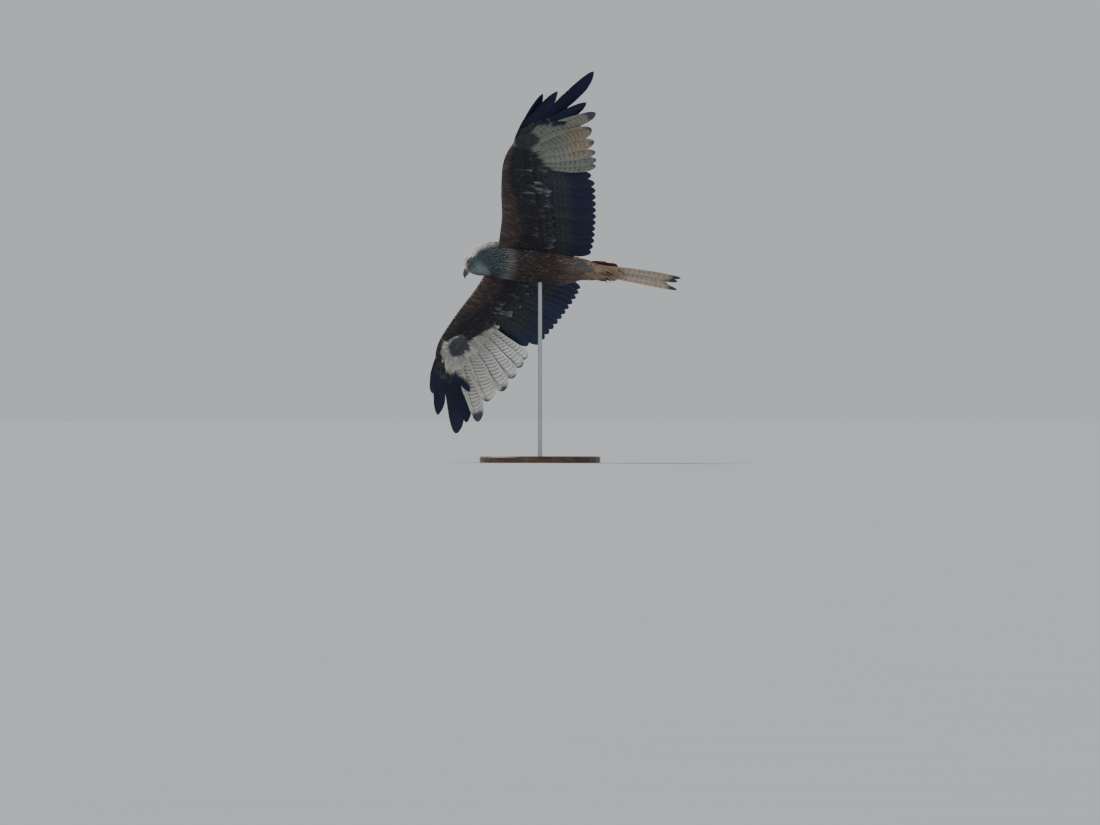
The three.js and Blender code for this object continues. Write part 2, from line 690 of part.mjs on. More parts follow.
// Tail feathers of one side: i counts from the middle outwards, and each lies under the one inside it.
function tailFeather(side, i) {
  const half = TAIL.count / 2;
  const share = (i + 0.5) / half;
  const length = THREE.MathUtils.lerp(TAIL.shortest, TAIL.longest, share * share);
  const level = TAIL.z - (2 * i + (side < 0 ? 1 : 0)) * TAIL.layer;
  const [outer, inner] = [TAIL.width * (0.5 - 0.2 * share), TAIL.width * (0.5 + 0.05 * share)];
  const width = (t) => {
    const tip = Math.max(0, (t - TAIL.tipStart) / (1 - TAIL.tipStart));
    return Math.sqrt(Math.max(0.05, 1 - tip ** 2)) * THREE.MathUtils.lerp(TAIL.rootWidth, 1, t);
  };
  const path = (t) => {
    const spread = THREE.MathUtils.lerp(TAIL.rootSpread, TAIL.tipSpread, t);
    const y = (side * share * spread) / 2 + TAIL.sway * t;
    return new THREE.Vector3(TAIL.rootX - length * t, y, level - TAIL.drop * t * t);
  };
  return vane({
    path,
    side: new THREE.Vector3(0, side, 0),
    widths: (t) => [outer * width(t), 0, -inner * width(t)],
    lean: () => 0,
    shares: TAIL_SHARES,
    shaft: TAIL.shaft,
  });
}

// A covert over or under the tail's foot: k counts from -2 to 2 across.
function tailCovert(row, k) {
  const lift = Math.abs(k) * row.layer + (k > 0 ? row.layer / 2 : 0);
  const length = row.length - 6 * Math.abs(k);
  const path = (t) => {
    const y = (row.spread / 5) * k * (0.9 + 0.3 * t);
    return new THREE.Vector3(row.x - length * t, y, THREE.MathUtils.lerp(...row.heights, t) + lift);
  };
  return vane({
    path,
    side: LEFT,
    widths: (t) => [(row.width / 2) * tipWidth(t), (-row.width / 2) * tipWidth(t)],
    lean: () => 0,
    shares: COVERT_SHARES,
  });
}

function tail() {
  const stub = smoothRows(TAIL_STUB, 5).map(([x, z, ...radii]) =>
    eggRing(new THREE.Vector3(x, 0, z), LEFT, UP, ...radii),
  );
  const pieces = [loft(stub)];
  for (const side of [1, -1]) {
    for (let i = 0; i < TAIL.count / 2; i++) pieces.push(tailFeather(side, i));
  }
  for (const row of TAIL_COVERTS) {
    for (let k = -2; k <= 2; k++) pieces.push(tailCovert(row, k));
  }
  return join(pieces).subtract(foot(1, GAP)).subtract(foot(-1, GAP));
}

function turned(radiusHeights) {
  const profile = radiusHeights.map(([r, z]) => new THREE.Vector2(r, z));
  return solidOf(new THREE.LatheGeometry(profile, BASE_SIDES).rotateX(Math.PI / 2));
}

// The rod in the bird's own frame, for the socket in the belly.
const pose = new THREE.Matrix4().compose(
  new THREE.Vector3(0, 0, BODY_HEIGHT),
  new THREE.Quaternion().setFromEuler(new THREE.Euler(BANK, -NOSE_UP, HEADING, "ZYX")),
  new THREE.Vector3(1, 1, 1),
);

function rod(radius, from, to) {
  const upright = new THREE.CylinderGeometry(radius, radius, to - from, ROD_SIDES).rotateX(Math.PI / 2);
  return upright.translate(0, 0, (from + to) / 2);
}

const socket = solidOf(rod(ROD_RADIUS + GAP, BASE_HEIGHT, SOCKET_TOP).applyMatrix4(pose.clone().invert()));

const FEATHER = { dark: 0x2b2523, rufous: 0x6b3d25, tail: 0xa8683a, thigh: 0x7d4c2e };
const nodes = [];
nodes.push(meshOf("torso", torso().subtract(socket), FEATHER.rufous));
nodes.push(meshOf("neck", neck(), 0x8a7d72));
nodes.push(meshOf("head", head(), 0xb8b4ac));
nodes.push(meshOf("bill_upper", upperBill(), 0x2a2622, 0.35));
const lowerBill = loft(smoothRows(LOWER_BILL, 6).map((row) => headRing(...row)));
nodes.push(meshOf("bill_lower", lowerBill, 0x2a2622, 0.35));
nodes.push(meshOf("tail", tail(), FEATHER.tail));
for (const [name, side] of [["left", 1], ["right", -1]]) {
  const eye = ball(EYE.ahead, side * EYE.side, EYE.up, EYE.radius);
  nodes.push(meshOf("eye_" + name, eye, 0xc8a35a, 0.2));
  nodes.push(meshOf("wing_" + name + "_arm", arm(side), FEATHER.rufous));
  nodes.push(meshOf("wing_" + name + "_hand", hand(side), FEATHER.dark));
  nodes.push(meshOf("leg_" + name, leg(side), FEATHER.thigh));
  nodes.push(meshOf("foot_" + name, foot(side), 0xc79a3c, 0.6));
}

const bird = new THREE.Group();
bird.add(...nodes);
bird.applyMatrix4(pose);

const base = turned([
  [0, 0],
  [BASE_RADIUS, 0],
  [BASE_RADIUS, BASE_HEIGHT - BASE_EDGE],
  [BASE_RADIUS - BASE_EDGE, BASE_HEIGHT],
  [0, BASE_HEIGHT],
]).subtract(solidOf(rod(ROD_RADIUS + GAP, BASE_HEIGHT - ROD_SUNK - GAP, BASE_HEIGHT + 1)));
const part = new THREE.Group();
part.add(
  bird,
  meshOf("stand_base", base, 0x2a1c14, 0.45),
  meshOf("stand_rod", solidOf(rod(ROD_RADIUS, BASE_HEIGHT - ROD_SUNK, ROD_TOP)), 0x8f9194, 0.35, 1),
);
export default part;
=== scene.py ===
# %% [markdown]
# A red kite in a banked glide, held by one steel rod over a round wooden base. The solids give every
# size and place. This script dresses them: one skin in place of the flesh, and over it feathers as thin
# solid vanes, from the long flight feathers down to the bristles of the face. Hair curves or pictures on
# cards would be quicker, but a solid vane keeps its edge from close by and from every side.

# %% The packed solids
import math

import bpy
import numpy as np
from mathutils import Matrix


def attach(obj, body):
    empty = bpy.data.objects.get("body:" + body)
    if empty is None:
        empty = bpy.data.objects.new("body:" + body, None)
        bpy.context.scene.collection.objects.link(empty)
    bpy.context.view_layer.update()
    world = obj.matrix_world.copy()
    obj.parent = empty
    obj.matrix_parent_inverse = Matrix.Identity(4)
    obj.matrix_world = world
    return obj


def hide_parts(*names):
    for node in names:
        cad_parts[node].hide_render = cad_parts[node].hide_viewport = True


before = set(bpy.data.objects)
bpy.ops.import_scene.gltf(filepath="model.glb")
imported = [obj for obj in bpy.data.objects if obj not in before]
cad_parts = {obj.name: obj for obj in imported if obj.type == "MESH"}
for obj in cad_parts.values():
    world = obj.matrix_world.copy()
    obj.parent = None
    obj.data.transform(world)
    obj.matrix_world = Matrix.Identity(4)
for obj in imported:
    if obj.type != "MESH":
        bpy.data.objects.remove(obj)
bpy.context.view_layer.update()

# %% [markdown]
# The photograph is taken from the side and a little from below, from far away, so the view is almost
# without perspective. A very long lens sixty metres off gives the same, with the camera over the floor.
# One pixel spans 2.8 mm at the bird, as its length and the chord of its wings say.

# %% Camera
PHOTO_WIDTH, PHOTO_HEIGHT = 1100, 825
PIXEL = 0.001 / 0.355
BODY_PIXEL = (540, 264)
BODY_HEIGHT = 0.560
CAMERA_AWAY = 60.0
SENSOR = 36.0

lens = bpy.data.cameras.new("camera")
lens.sensor_width = SENSOR
lens.lens = SENSOR * CAMERA_AWAY / (PHOTO_WIDTH * PIXEL)
lens.clip_start = 1.0
lens.clip_end = 400.0
camera = bpy.data.objects.new("camera", lens)
camera.location = (
    (PHOTO_WIDTH / 2 - BODY_PIXEL[0]) * PIXEL,
    -CAMERA_AWAY,
    BODY_HEIGHT - (PHOTO_HEIGHT / 2 - BODY_PIXEL[1]) * PIXEL,
)
camera.rotation_euler = (math.pi / 2, 0, 0)
bpy.context.scene.collection.objects.link(camera)
bpy.context.scene.camera = camera
print("lens", round(lens.lens, 1), "mm, camera at", tuple(round(x, 3) for x in camera.location))

# %% [markdown]
# Colours are named as the eye sees them, 0 to 255, and turned into the linear light that Blender mixes.
# Markings need soft steps and uneven edges. A picture could hold them, but a formula has no pixels, so
# three small helpers give them: a smooth step, a mix of two colours, and a sum of waves for chance.


# %% Colour and number helpers
def paint(red, green, blue):
    """An sRGB colour as linear light: c/12.92 near black, and ((c + 0.055)/1.055)^2.4 above."""
    c = np.array([red, green, blue]) / 255
    return np.where(c <= 0.04045, c / 12.92, ((c + 0.055) / 1.055) ** 2.4)


def rise(value, low, high):
    """0 below low, 1 above high, and the S curve t*t*(3 - 2t) between them."""
    t = np.clip((value - low) / (high - low), 0, 1)
    return t * t * (3 - 2 * t)


def blend(a, b, share):
    """Colour a where share is 0 and colour b where it is 1."""
    share = np.asarray(share)[..., None]
    return a * (1 - share) + b * share


def both(a, b, share):
    """Two pairs of colours, each a ground and its edge, blended by one share."""
    return [blend(x, y, share) for x, y in zip(a, b)]


def chance_light(luck, spread):
    """How light one feather is beside the others: e to the power of spread times luck, from its middle."""
    return np.exp((luck - 0.5) * spread)[..., None]


def ripple(x, y, seed):
    """A smooth uneven value from -1 to 1: a sum of sines whose directions and lengths differ."""
    draw = np.random.default_rng(seed)
    total = 0
    for _ in range(5):
        kx, ky, shift = draw.normal(0, 1, 2).tolist() + [draw.uniform(0, 6.3)]
        total = total + np.sin(kx * x + ky * y + shift)
    return total / 3.2


print("middle grey in linear light:", paint(128, 128, 128).round(3).tolist())

# %% [markdown]
# The floor is a wide pale sheet, and the air round it is as pale, so that no edge shows. Lamps close by
# would fade over a wingspan, so the lights are suns, which shine evenly. Two broad soft ones light the
# belly side, as in a studio. A third and harder one from above and behind draws the white rim that the
# photograph shows along the crown and the wings' front edges.


# %% Floor, air and lamps
def link(obj):
    """Puts an object into the scene and hands it back."""
    bpy.context.scene.collection.objects.link(obj)
    return obj


def soft_sun(name, place, strength, spread, colour):
    """Even light from one side: place gives the side, and spread, in degrees, how soft its shadows are."""
    data = bpy.data.lights.new(name, "SUN")
    data.energy = strength
    data.angle = math.radians(spread)
    data.color = colour
    lamp = link(bpy.data.objects.new(name, data))
    lamp.location = place
    level = math.hypot(place[0], place[1])
    lamp.rotation_euler = (math.atan2(level, place[2]), 0, math.atan2(place[0], -place[1]))
    return lamp


soft_sun("key", (-3.2, -4.0, 2.4), 1.15, 24, (1.0, 0.97, 0.93))
soft_sun("fill", (4.0, -4.2, 0.9), 0.45, 40, (0.92, 0.96, 1.0))
soft_sun("rim", (-1.6, 3.0, 3.6), 2.6, 5, (1.0, 0.98, 0.95))

AIR_COLOUR = (0.82, 0.86, 0.90, 1)
AIR_STRENGTH = 0.60
world = bpy.data.worlds.new("air")
world.use_nodes = True
world.node_tree.nodes["Background"].inputs["Color"].default_value = AIR_COLOUR
world.node_tree.nodes["Background"].inputs["Strength"].default_value = AIR_STRENGTH
bpy.context.scene.world = world

FLOOR_REACH = 260.0
floor_mesh = bpy.data.meshes.new("floor")
floor_corners = [(x * FLOOR_REACH, y * FLOOR_REACH, 0) for x, y in ((-1, -1), (1, -1), (1, 1), (-1, 1))]
floor_mesh.from_pydata(floor_corners, [], [(0, 1, 2, 3)])
floor = link(bpy.data.objects.new("floor", floor_mesh))
print(len(bpy.data.lights), "lamps over a floor", 2 * FLOOR_REACH, "m wide")

# %% [markdown]
# The bird is worked out in its own frame, in millimetres: +X to the bill, +Y to its left wing, +Z to its
# back. Turning the finished objects would be the usual way, but every mesh must already lie where the
# solids are. So one turn and one lift put each point there before it enters a mesh.

# %% Pose
MM = 0.001
SIDES = {"left": 1, "right": -1}
HEADING, NOSE_UP, BANK = np.radians([190.8, 7.4, 38.4])


def turn(axis, angle):
    """The 3 by 3 turn by an angle about an axis, by Rodrigues' formula: I + sin K + (1 - cos) K K."""
    x, y, z = unit(np.asarray(axis, float))
    k = np.array([[0, -z, y], [z, 0, -x], [-y, x, 0]])
    return np.eye(3) + math.sin(angle) * k + (1 - math.cos(angle)) * k @ k


def unit(vectors):
    """Each vector divided by its length."""
    return vectors / np.linalg.norm(vectors, axis=-1, keepdims=True)


X, Y, Z = np.eye(3)
POSE = turn(Z, HEADING) @ turn(Y, -NOSE_UP) @ turn(X, BANK)


def placed(points):
    """The bird's millimetres in the frame's metres: turned by the pose and lifted to the body's height."""
    return points @ POSE.T * MM + np.array([0, 0, BODY_HEIGHT])


HEAD_AT = np.array([191.0, -12.0, -13.0])
HEAD_YAW, HEAD_DOWN, HEAD_ROLL = np.radians([-37, 37, -39])
HEAD_TURN = turn(Z, HEAD_YAW) @ turn(Y, HEAD_DOWN) @ turn(X, HEAD_ROLL)


def in_head(points):
    """Points given ahead of the eyes, to the left and up the head, in the bird's frame."""
    return np.asarray(points, float) @ HEAD_TURN.T + HEAD_AT


def head_part(points):
    """The reverse: how far ahead of the eyes, to the left and up the head a point of the bird lies."""
    return (points - HEAD_AT) @ HEAD_TURN


print("the middle of the head lies at", placed(HEAD_AT).round(3).tolist())

# %% [markdown]
# Body, neck and head are one form: egg-shaped rings strung on a line from the tail's stub to the bill's
# base. The stations are those of the solids. They could be joined by straight pieces, but a smooth curve
# through them gives as many rings as needed, so the neck has no seam.


# %% Rings of the body
def smooth(table, places):
    """A Catmull-Rom curve through the rows of a table: a cubic in the share between each two rows."""
    table = np.asarray(table, float)
    t = np.clip(places, 0, len(table) - 1)
    i = np.minimum(t.astype(int), len(table) - 2)
    s = (t - i)[..., None]
    a, b, c, d = (table[np.clip(i + k, 0, len(table) - 1)] for k in (-1, 0, 1, 2))
    return b + 0.5 * s * (c - a + s * (2 * a - 5 * b + 4 * c - d + s * (3 * (b - c) + d - a)))


def evenly(table, count):
    """The curve through a table at count even places."""
    return smooth(table, np.linspace(0, len(table) - 1, count))


# x, axis z, half width, above, below, depth of the coat
TRUNK = [
    [-204, 0, 17, 3.5, 3.5, 1.5], [-186, 1, 23, 8, 8, 3], [-165, 2, 27, 10, 11, 4],
    [-146, 3, 29, 12, 13, 5], [-122, 2, 37, 19, 21, 6], [-90, 1, 43, 28, 32, 6.5],
    [-45, 0, 49, 38, 46, 7], [5, 0, 53, 43, 54, 7], [55, 0, 55, 45, 58, 7],
    [88, 0, 54, 45, 58, 7], [112, -1, 51, 43, 56, 7],
]
# Share of the way to the skull, half width, above, below, depth of the coat
NECK = [[0.28, 47, 43, 60, 7], [0.55, 40, 38, 65, 6.5], [0.8, 33, 31, 67, 5.5]]
# Ahead of the eyes, axis z, half width, above, below, depth of the coat
HEAD = [
    [-15, 0, 28, 26, 66, 4.5], [-6, 0, 26.5, 25, 61, 4], [4, -0.5, 23.5, 23.5, 53, 3.2],
    [13, -2, 19, 20, 42, 2.6], [21, -4.5, 14, 15, 29, 2], [28, -7, 9.5, 9.5, 12.5, 1.2],
]
NAPE_BEHIND = 15

# The head's turn as one angle about one axis. The neck takes it up bit by bit on its way.
neck_angle = math.acos((np.trace(HEAD_TURN) - 1) / 2)
swing = HEAD_TURN - HEAD_TURN.T
neck_axis = [swing[2, 1], swing[0, 2], swing[1, 0]]


def station(middle, turned, half, above, below, depth):
    """One ring: its middle, its left and up, and its three radii inside the coat, with the coat's depth."""
    return [*middle, *turned[:, 1], *turned[:, 2], half - depth, above - depth, below - depth, depth]


def neck_middle(share):
    """A cubic Bezier curve that leaves the breast forwards and meets the skull along the head's line."""
    start = np.array([TRUNK[-1][0], 0, TRUNK[-1][1]])
    end = in_head([-NAPE_BEHIND, 0, 0])
    reach = np.linalg.norm(end - start) / 3
    bend = [start, start + X * reach, end - HEAD_TURN[:, 0] * reach, end]
    weights = [(1 - share) ** 3, 3 * share * (1 - share) ** 2, 3 * share**2 * (1 - share), share**3]
    return sum(w * p for w, p in zip(weights, bend))


stations = [station([x, 0, z], np.eye(3), *radii) for x, z, *radii in TRUNK]
stations += [
    station(neck_middle(share), turn(neck_axis, neck_angle * share), *radii)
    for share, *radii in NECK
]
stations += [station(in_head([ahead, 0, z]), HEAD_TURN, *radii) for ahead, z, *radii in HEAD]
RINGS = 420
spine = evenly(stations[::-1], RINGS)
print(len(stations), "stations,", RINGS, "rings from bill to tail")

# %% [markdown]
# Feathers need a ground to lie on. A coat is a grid of points on the skin with the outward direction at
# each. Its p runs along the lie of the feathers, away from the bill or from the wing's front edge, and
# its q runs across. Each feather could be cast onto the skin by a ray, one by one. Reading places and
# heights from a grid lays thousands at once instead, and each follows the form under it.


# %% Coats
class Coat:
    """A surface read between grid points. inside holds a point within the body for each row."""

    def __init__(self, points, inside, ring=False):
        rows, columns = points.shape[:2]
        self.points, self.ring = points, ring
        padded = np.concatenate([points[:, -2:-1], points, points[:, 1:2]], 1) if ring else points
        along = np.gradient(points, axis=0) * (rows - 1)
        across = np.gradient(padded, axis=1) * (columns - 1)
        if ring:
            across = across[:, 1:-1]
        out = np.cross(along, across)
        out /= np.linalg.norm(out, axis=-1, keepdims=True) + 1e-9
        if np.mean(np.sum(out * (points - inside[:, None]), -1)) < 0:
            out = -out
        self.out = out
        self.along = np.linalg.norm(along, axis=-1)[..., None]
        self.across = np.linalg.norm(across, axis=-1)[..., None]

    def read(self, grid, p, q):
        """Bilinear: the four grid values round a place, weighted by how near each is."""
        rows, columns = grid.shape[:2]
        q = np.mod(q, 1) if self.ring else q
        a = np.clip(p, 0, 1) * (rows - 1)
        b = np.clip(q, 0, 1) * (columns - 1)
        i = np.minimum(a.astype(int), rows - 2)
        j = np.minimum(b.astype(int), columns - 2)
        s, t = (a - i)[..., None], (b - j)[..., None]
        near = grid[i, j] * (1 - t) + grid[i, j + 1] * t
        far = grid[i + 1, j] * (1 - t) + grid[i + 1, j + 1] * t
        return near * (1 - s) + far * s

    def at(self, p, q, height=0.0):
        """The place at p and q, raised by a height in mm along the outward direction there."""
        height = np.asarray(height, float)
        return self.read(self.points, p, q) + self.read(self.out, p, q) * height[..., None]


AROUND = 181
theta = np.linspace(0, 2 * math.pi, AROUND)
up_radius = np.where(np.sin(theta) > 0, spine[:, 10:11], spine[:, 11:12])
body_points = (
    spine[:, None, 0:3]
    + spine[:, None, 3:6] * (np.cos(theta) * spine[:, 9:10])[..., None]
    + spine[:, None, 6:9] * (np.sin(theta) * up_radius)[..., None]
)
body_coat = Coat(body_points, spine[:, 0:3], ring=True)
body_depth = spine[:, 12]
print("body coat", body_points.shape, "length", round(float(body_coat.along[:, 0].mean())), "mm")

# %% [markdown]
# The wing's flesh is a long thin form, rounded in front. The left wing is stretched out and the right one
# is half folded, with its wrist nearer to the body, so each wing has its own line of feather roots. One
# wing could be bent into the other by bones. Two tables say the same more plainly, and nothing folds.
# The flight feathers lie on a sheet, from the line of roots to the row of tips.

# %% Wings
# y, x of the front edge, x of the rear edge, z, above, below
WING_FLESH = [
    [24, 126, -22, 10, 15, 17], [60, 134, 4, 11, 14, 15], [110, 141, 36, 11, 12.5, 13.5],
    [180, 153, 74, 10, 11, 12], [250, 171, 104, 9, 10, 10.5], [320, 187, 130, 8, 9, 9.5],
    [386, 199, 150, 8, 8.5, 9], [430, 202, 160, 8, 8, 8.5], [468, 198, 168, 9, 6.5, 7],
    [486, 193, 180, 10, 3.5, 3.5],
]
WING_DEPTH = 2.4
PRIMARY_TIPS = [
    [-60, 437, 12], [-54, 470, 8], [-41, 513, 0], [-24, 567, -7], [-2, 626, -12],
    [11, 704, -14], [46, 730, -4], [54, 826, 30], [129, 736, 14], [166, 684, 44],
]
PRIMARY_BOW = [8, 8, 9, 10, 11, 11, 10, 7, 10, 7]
# Width of the vane before and behind the shaft, and the share of the length where a finger narrows.
# A notch past 1 is none.
PRIMARY_OUTER = np.array([15, 15, 15, 16, 16, 15, 13, 14, 11, 9.0])
PRIMARY_INNER = np.array([32, 33, 36, 40, 43, 42, 37, 39, 31, 26.0])
PRIMARY_NOTCH = np.array([2, 2, 2, 2, 2, 0.72, 0.62, 0.54, 0.52, 0.5])
SECONDARY_TIPS = [
    [-131, 79, -1], [-131, 103, 0], [-129, 128, 1], [-125, 153, 2], [-120, 178, 3], [-116, 203, 4],
    [-111, 228, 5], [-105, 254, 6], [-99, 280, 7], [-92, 307, 9], [-85, 334, 10], [-76, 362, 12],
    [-66, 392, 14],
]
FOLD = {
    "left": {
        "primary_roots": [[166, 396, 8], [188, 468, 9]],
        "secondary_roots": [[66, 74, 10], [152, 374, 8]],
    },
    "right": {
        "primary_roots": [[122, 284, 8], [188, 446, 9]],
        "secondary_roots": [[66, 74, 10], [116, 258, 9]],
    },
}
SECONDARY_BOW = 3
CAMBER = {"hand": 3, "arm": 5}
# How far in mm each vane climbs over its neighbour, and how much wider than the space it may be
LAYER = 1.5
OVERLAP = 1.9


class Run:
    """A run of flight feathers: a sheet from a line of roots to a row of tips, bowed and cambered."""

    def __init__(self, roots, tips, bows, camber, hand):
        self.tips = np.array(tips, float)
        share = np.linspace(0, 1, len(tips))[:, None]
        self.roots = np.array(roots[0]) * (1 - share) + np.array(roots[1]) * share
        self.bows = np.broadcast_to(np.array(bows, float), len(tips))
        self.camber, self.hand, self.count = camber, hand, len(tips)

    def ease(self, t):
        """The arm falls or rises evenly along a feather, the hand only past its first third."""
        return np.maximum(0, (t - 0.3) / 0.7) ** 2 if self.hand else t

    def at(self, i, t):
        """Place on the sheet: root + (tip - root) t, bowed by 4t(1 - t).

        i numbers the feather, and between two numbers the roots and tips are mixed.
        """
        low = np.clip(np.floor(i), 0, self.count - 2).astype(int)
        f = (i - low)[..., None]
        root = self.roots[low] * (1 - f) + self.roots[low + 1] * f
        tip = self.tips[low] * (1 - f) + self.tips[low + 1] * f
        bow = self.bows[low] * (1 - f[..., 0]) + self.bows[low + 1] * f[..., 0]
        d = tip - root
        length = np.hypot(d[..., 0], d[..., 1])
        curve = np.where(t > 0, 4 * t * (1 - t), 0)
        x = root[..., 0] + d[..., 0] * t + d[..., 1] / length * bow * curve
        y = root[..., 1] + d[..., 1] * t - d[..., 0] / length * bow * curve
        z = root[..., 2] + d[..., 2] * self.ease(np.maximum(t, 0)) + self.camber * curve
        return np.stack(np.broadcast_arrays(x, y, z), -1)

    def length(self, i):
        """From root to tip, seen from above."""
        gap = self.at(i, np.ones_like(i)) - self.at(i, np.zeros_like(i))
        return np.hypot(gap[..., 0], gap[..., 1])

    def sideways(self, i, t):
        """The level direction across a feather, out towards the wing tip."""
        d = self.at(i, t + 0.02) - self.at(i, t - 0.02)
        return unit(np.stack([d[..., 1], -d[..., 0], 0 * d[..., 0]], -1))

    def spread(self, i, t):
        """Space to the neighbours, and the rise of the sheet for each millimetre outwards."""
        low = np.clip(i - 0.5, 0, self.count - 1.5)
        high = np.minimum(self.count - 1, low + 1)
        gap = self.at(high, t) - self.at(low, t)
        apart = np.abs(np.sum(gap * self.sideways(i, t), -1))
        return apart / (high - low), np.clip(gap[..., 2] / np.maximum(apart, 1), -0.3, 0.3)


wings = {}
for name, fold in FOLD.items():
    wings[name] = {
        "mirror": np.array([1, 1 if name == "left" else -1, 1]),
        "primaries": Run(fold["primary_roots"], PRIMARY_TIPS, PRIMARY_BOW, CAMBER["hand"], True),
        "secondaries": Run(fold["secondary_roots"], SECONDARY_TIPS, SECONDARY_BOW, CAMBER["arm"], False),
    }
print("feathers a wing:", wings["left"]["primaries"].count + wings["left"]["secondaries"].count)


def wing_section(rows, phi, above=True):
    """x runs from rear to front as 0.5 + 0.5 cos phi, and z swells as sin phi, less behind than in front."""
    y, front, rear, z, over, under = (rows[..., k] for k in range(6))
    depth = np.minimum(WING_DEPTH, 0.5 * over)
    share = 0.5 + 0.5 * np.cos(phi)
    swell = np.sin(phi) * (0.62 + 0.38 * share)
    reach = np.where(swell > 0, over, under) - depth
    x = (rear + depth) * (1 - share) + (front - depth) * share
    return np.stack(np.broadcast_arrays(x, y, z + swell * reach), -1)


# %% [markdown]
# The coverts that lie on the flesh need a coat above and one below. The flesh alone would do near the
# front, but the last coverts bridge the step down to the flight feathers. So each coat starts round the
# front edge, follows the flesh to its thickest stretch, and then runs almost straight on to the rear.

# %% Coats of the wing
# Angles round the flesh where a coat starts, below the front edge, and where it leaves the flesh
COAT_START, COAT_LEAVES = -0.35, 1.85
COAT_PAST_REAR = 16


def wing_coat(side, over):
    """Rows round the flesh, then straight rows whose fall is 0.045 d + 0.0009 d^2 at distance d."""
    flesh = evenly(WING_FLESH, 120)
    mirror = wings[side]["mirror"]
    sign = 1 if over else -1
    phi = sign * np.linspace(COAT_START, COAT_LEAVES, 44)[:, None]
    curved = wing_section(flesh[None], phi)
    last = curved[-1]
    step = np.linspace(0, 1, 24)[1:, None]
    run = (last[:, 0] - flesh[:, 2] + COAT_PAST_REAR) * step
    level = last[:, 2] - sign * (0.045 * run + 0.0009 * run**2)
    straight = np.stack(np.broadcast_arrays(last[:, 0] - run, last[:, 1], level), -1)
    points = np.concatenate([curved, straight]) * mirror
    middle = (flesh[:, [1, 0, 3]] * [0.5, 1, 1]).mean(0)
    inside = np.broadcast_to(middle, (len(points), 3)) * mirror
    made = Coat(points, inside)
    if made.out[25].mean(0)[2] * sign < 0:
        made.out = -made.out
    return made


for side in wings:
    wings[side]["over"] = wing_coat(side, True)
    wings[side]["under"] = wing_coat(side, False)
print("wing coats", wings["left"]["over"].points.shape)

# %% [markdown]
# One skin stands for all the flesh. Its forms are made as closed tubes: the body, the vent, two wings, two
# thighs and two brows. The brow of a kite juts over its eye, so it is a form of its own. Sculpting would
# give the same shapes by hand. Tables of rings keep them tied to the sizes of the solids.


# %% Skin forms
def tube(rings):
    """A closed surface through rings of points: quads between rings and a fan at each end."""
    rows, around = rings.shape[:2]
    points = rings.reshape(-1, 3)
    r, c = np.meshgrid(np.arange(rows - 1), np.arange(around), indexing="ij")
    d = (c + 1) % around
    quads = np.stack([r * around + c, r * around + d, (r + 1) * around + d, (r + 1) * around + c], -1)
    c = np.arange(around)
    d = (c + 1) % around
    first, last = len(points), len(points) + 1
    caps = np.concatenate([
        np.stack([np.full(around, first), d, c], -1),
        np.stack([np.full(around, last), (rows - 1) * around + c, (rows - 1) * around + d], -1),
    ])
    points = np.concatenate([points, rings[:1].mean(1), rings[-1:].mean(1)])
    return points, quads.reshape(-1, 4), caps


def limb_rings(rows, around=28):
    """Round rings square to a bent line, from rows of x, y, z and radius."""
    rows = np.asarray(rows, float)
    middle, radius = rows[:, :3], rows[:, 3]
    along = unit(np.gradient(middle, axis=0))
    left = unit(np.cross(Z + 0.01 * X, along))
    up = np.cross(along, left)
    a = np.linspace(0, 2 * math.pi, around, endpoint=False)
    across = np.cos(a)[:, None] * left[:, None] + np.sin(a)[:, None] * up[:, None]
    return middle[:, None] + across * radius[:, None, None]


THIGH = [
    [-28, 27, -31, 12], [-56, 27, -29, 14.5], [-86, 23, -24, 12.5], [-108, 18, -20, 9],
    [-121, 15.5, -18.5, 6.2],
]
THIGH_DEPTH = 3.5
BROW = [[21, 12, 7.2, 0.8], [13, 17.4, 10.8, 1.8], [4, 21, 11.7, 2.3], [-6, 22, 10.7, 1.2]]
# x, axis z, half width, above, below: the soft feathers of the vent, which wrap the drawn-up shanks
VENT_FLUFF = [
    [-84, -8, 30, 12, 24], [-100, -8, 30, 12, 19.5], [-122, -7, 28, 12, 15.4], [-146, -6, 26, 10, 12.6],
    [-168, -5, 23.5, 8, 11], [-186, -4, 19, 6, 8.4], [-202, -3, 12, 4, 5],
]
fluff_rows = evenly(VENT_FLUFF, 70)
fluff_points = np.stack([
    fluff_rows[:, :1] + 0 * theta,
    fluff_rows[:, 2:3] * np.cos(theta),
    fluff_rows[:, 1:2] + np.sin(theta) * np.where(np.sin(theta) > 0, fluff_rows[:, 3:4], fluff_rows[:, 4:5]),
], -1)
fluff_axis = np.stack([fluff_rows[:, 0], 0 * fluff_rows[:, 0], fluff_rows[:, 1]], -1)
fluff_coat = Coat(fluff_points, fluff_axis, ring=True)
thighs = {}
forms = [body_points[:, :-1], fluff_points[:, :-1]]
flesh_rows = evenly(WING_FLESH, 120)


def brow_rows(sign):
    """The brow's line over one eye: sign is 1 on the left and -1 on the right."""
    rows = evenly(BROW, 24)
    rows[:, :3] = in_head(rows[:, :3] * [1, sign, 1])
    return rows


for side, sign in SIDES.items():
    phi = np.linspace(0, 2 * math.pi, 48, endpoint=False)
    forms.append(wing_section(flesh_rows[:, None], phi[None]) * wings[side]["mirror"])
    thighs[side] = evenly(THIGH, 60) * [1, sign, 1, 1]
    forms.append(limb_rings(thighs[side] - [0, 0, 0, THIGH_DEPTH]))
    forms.append(limb_rings(brow_rows(sign), 12))

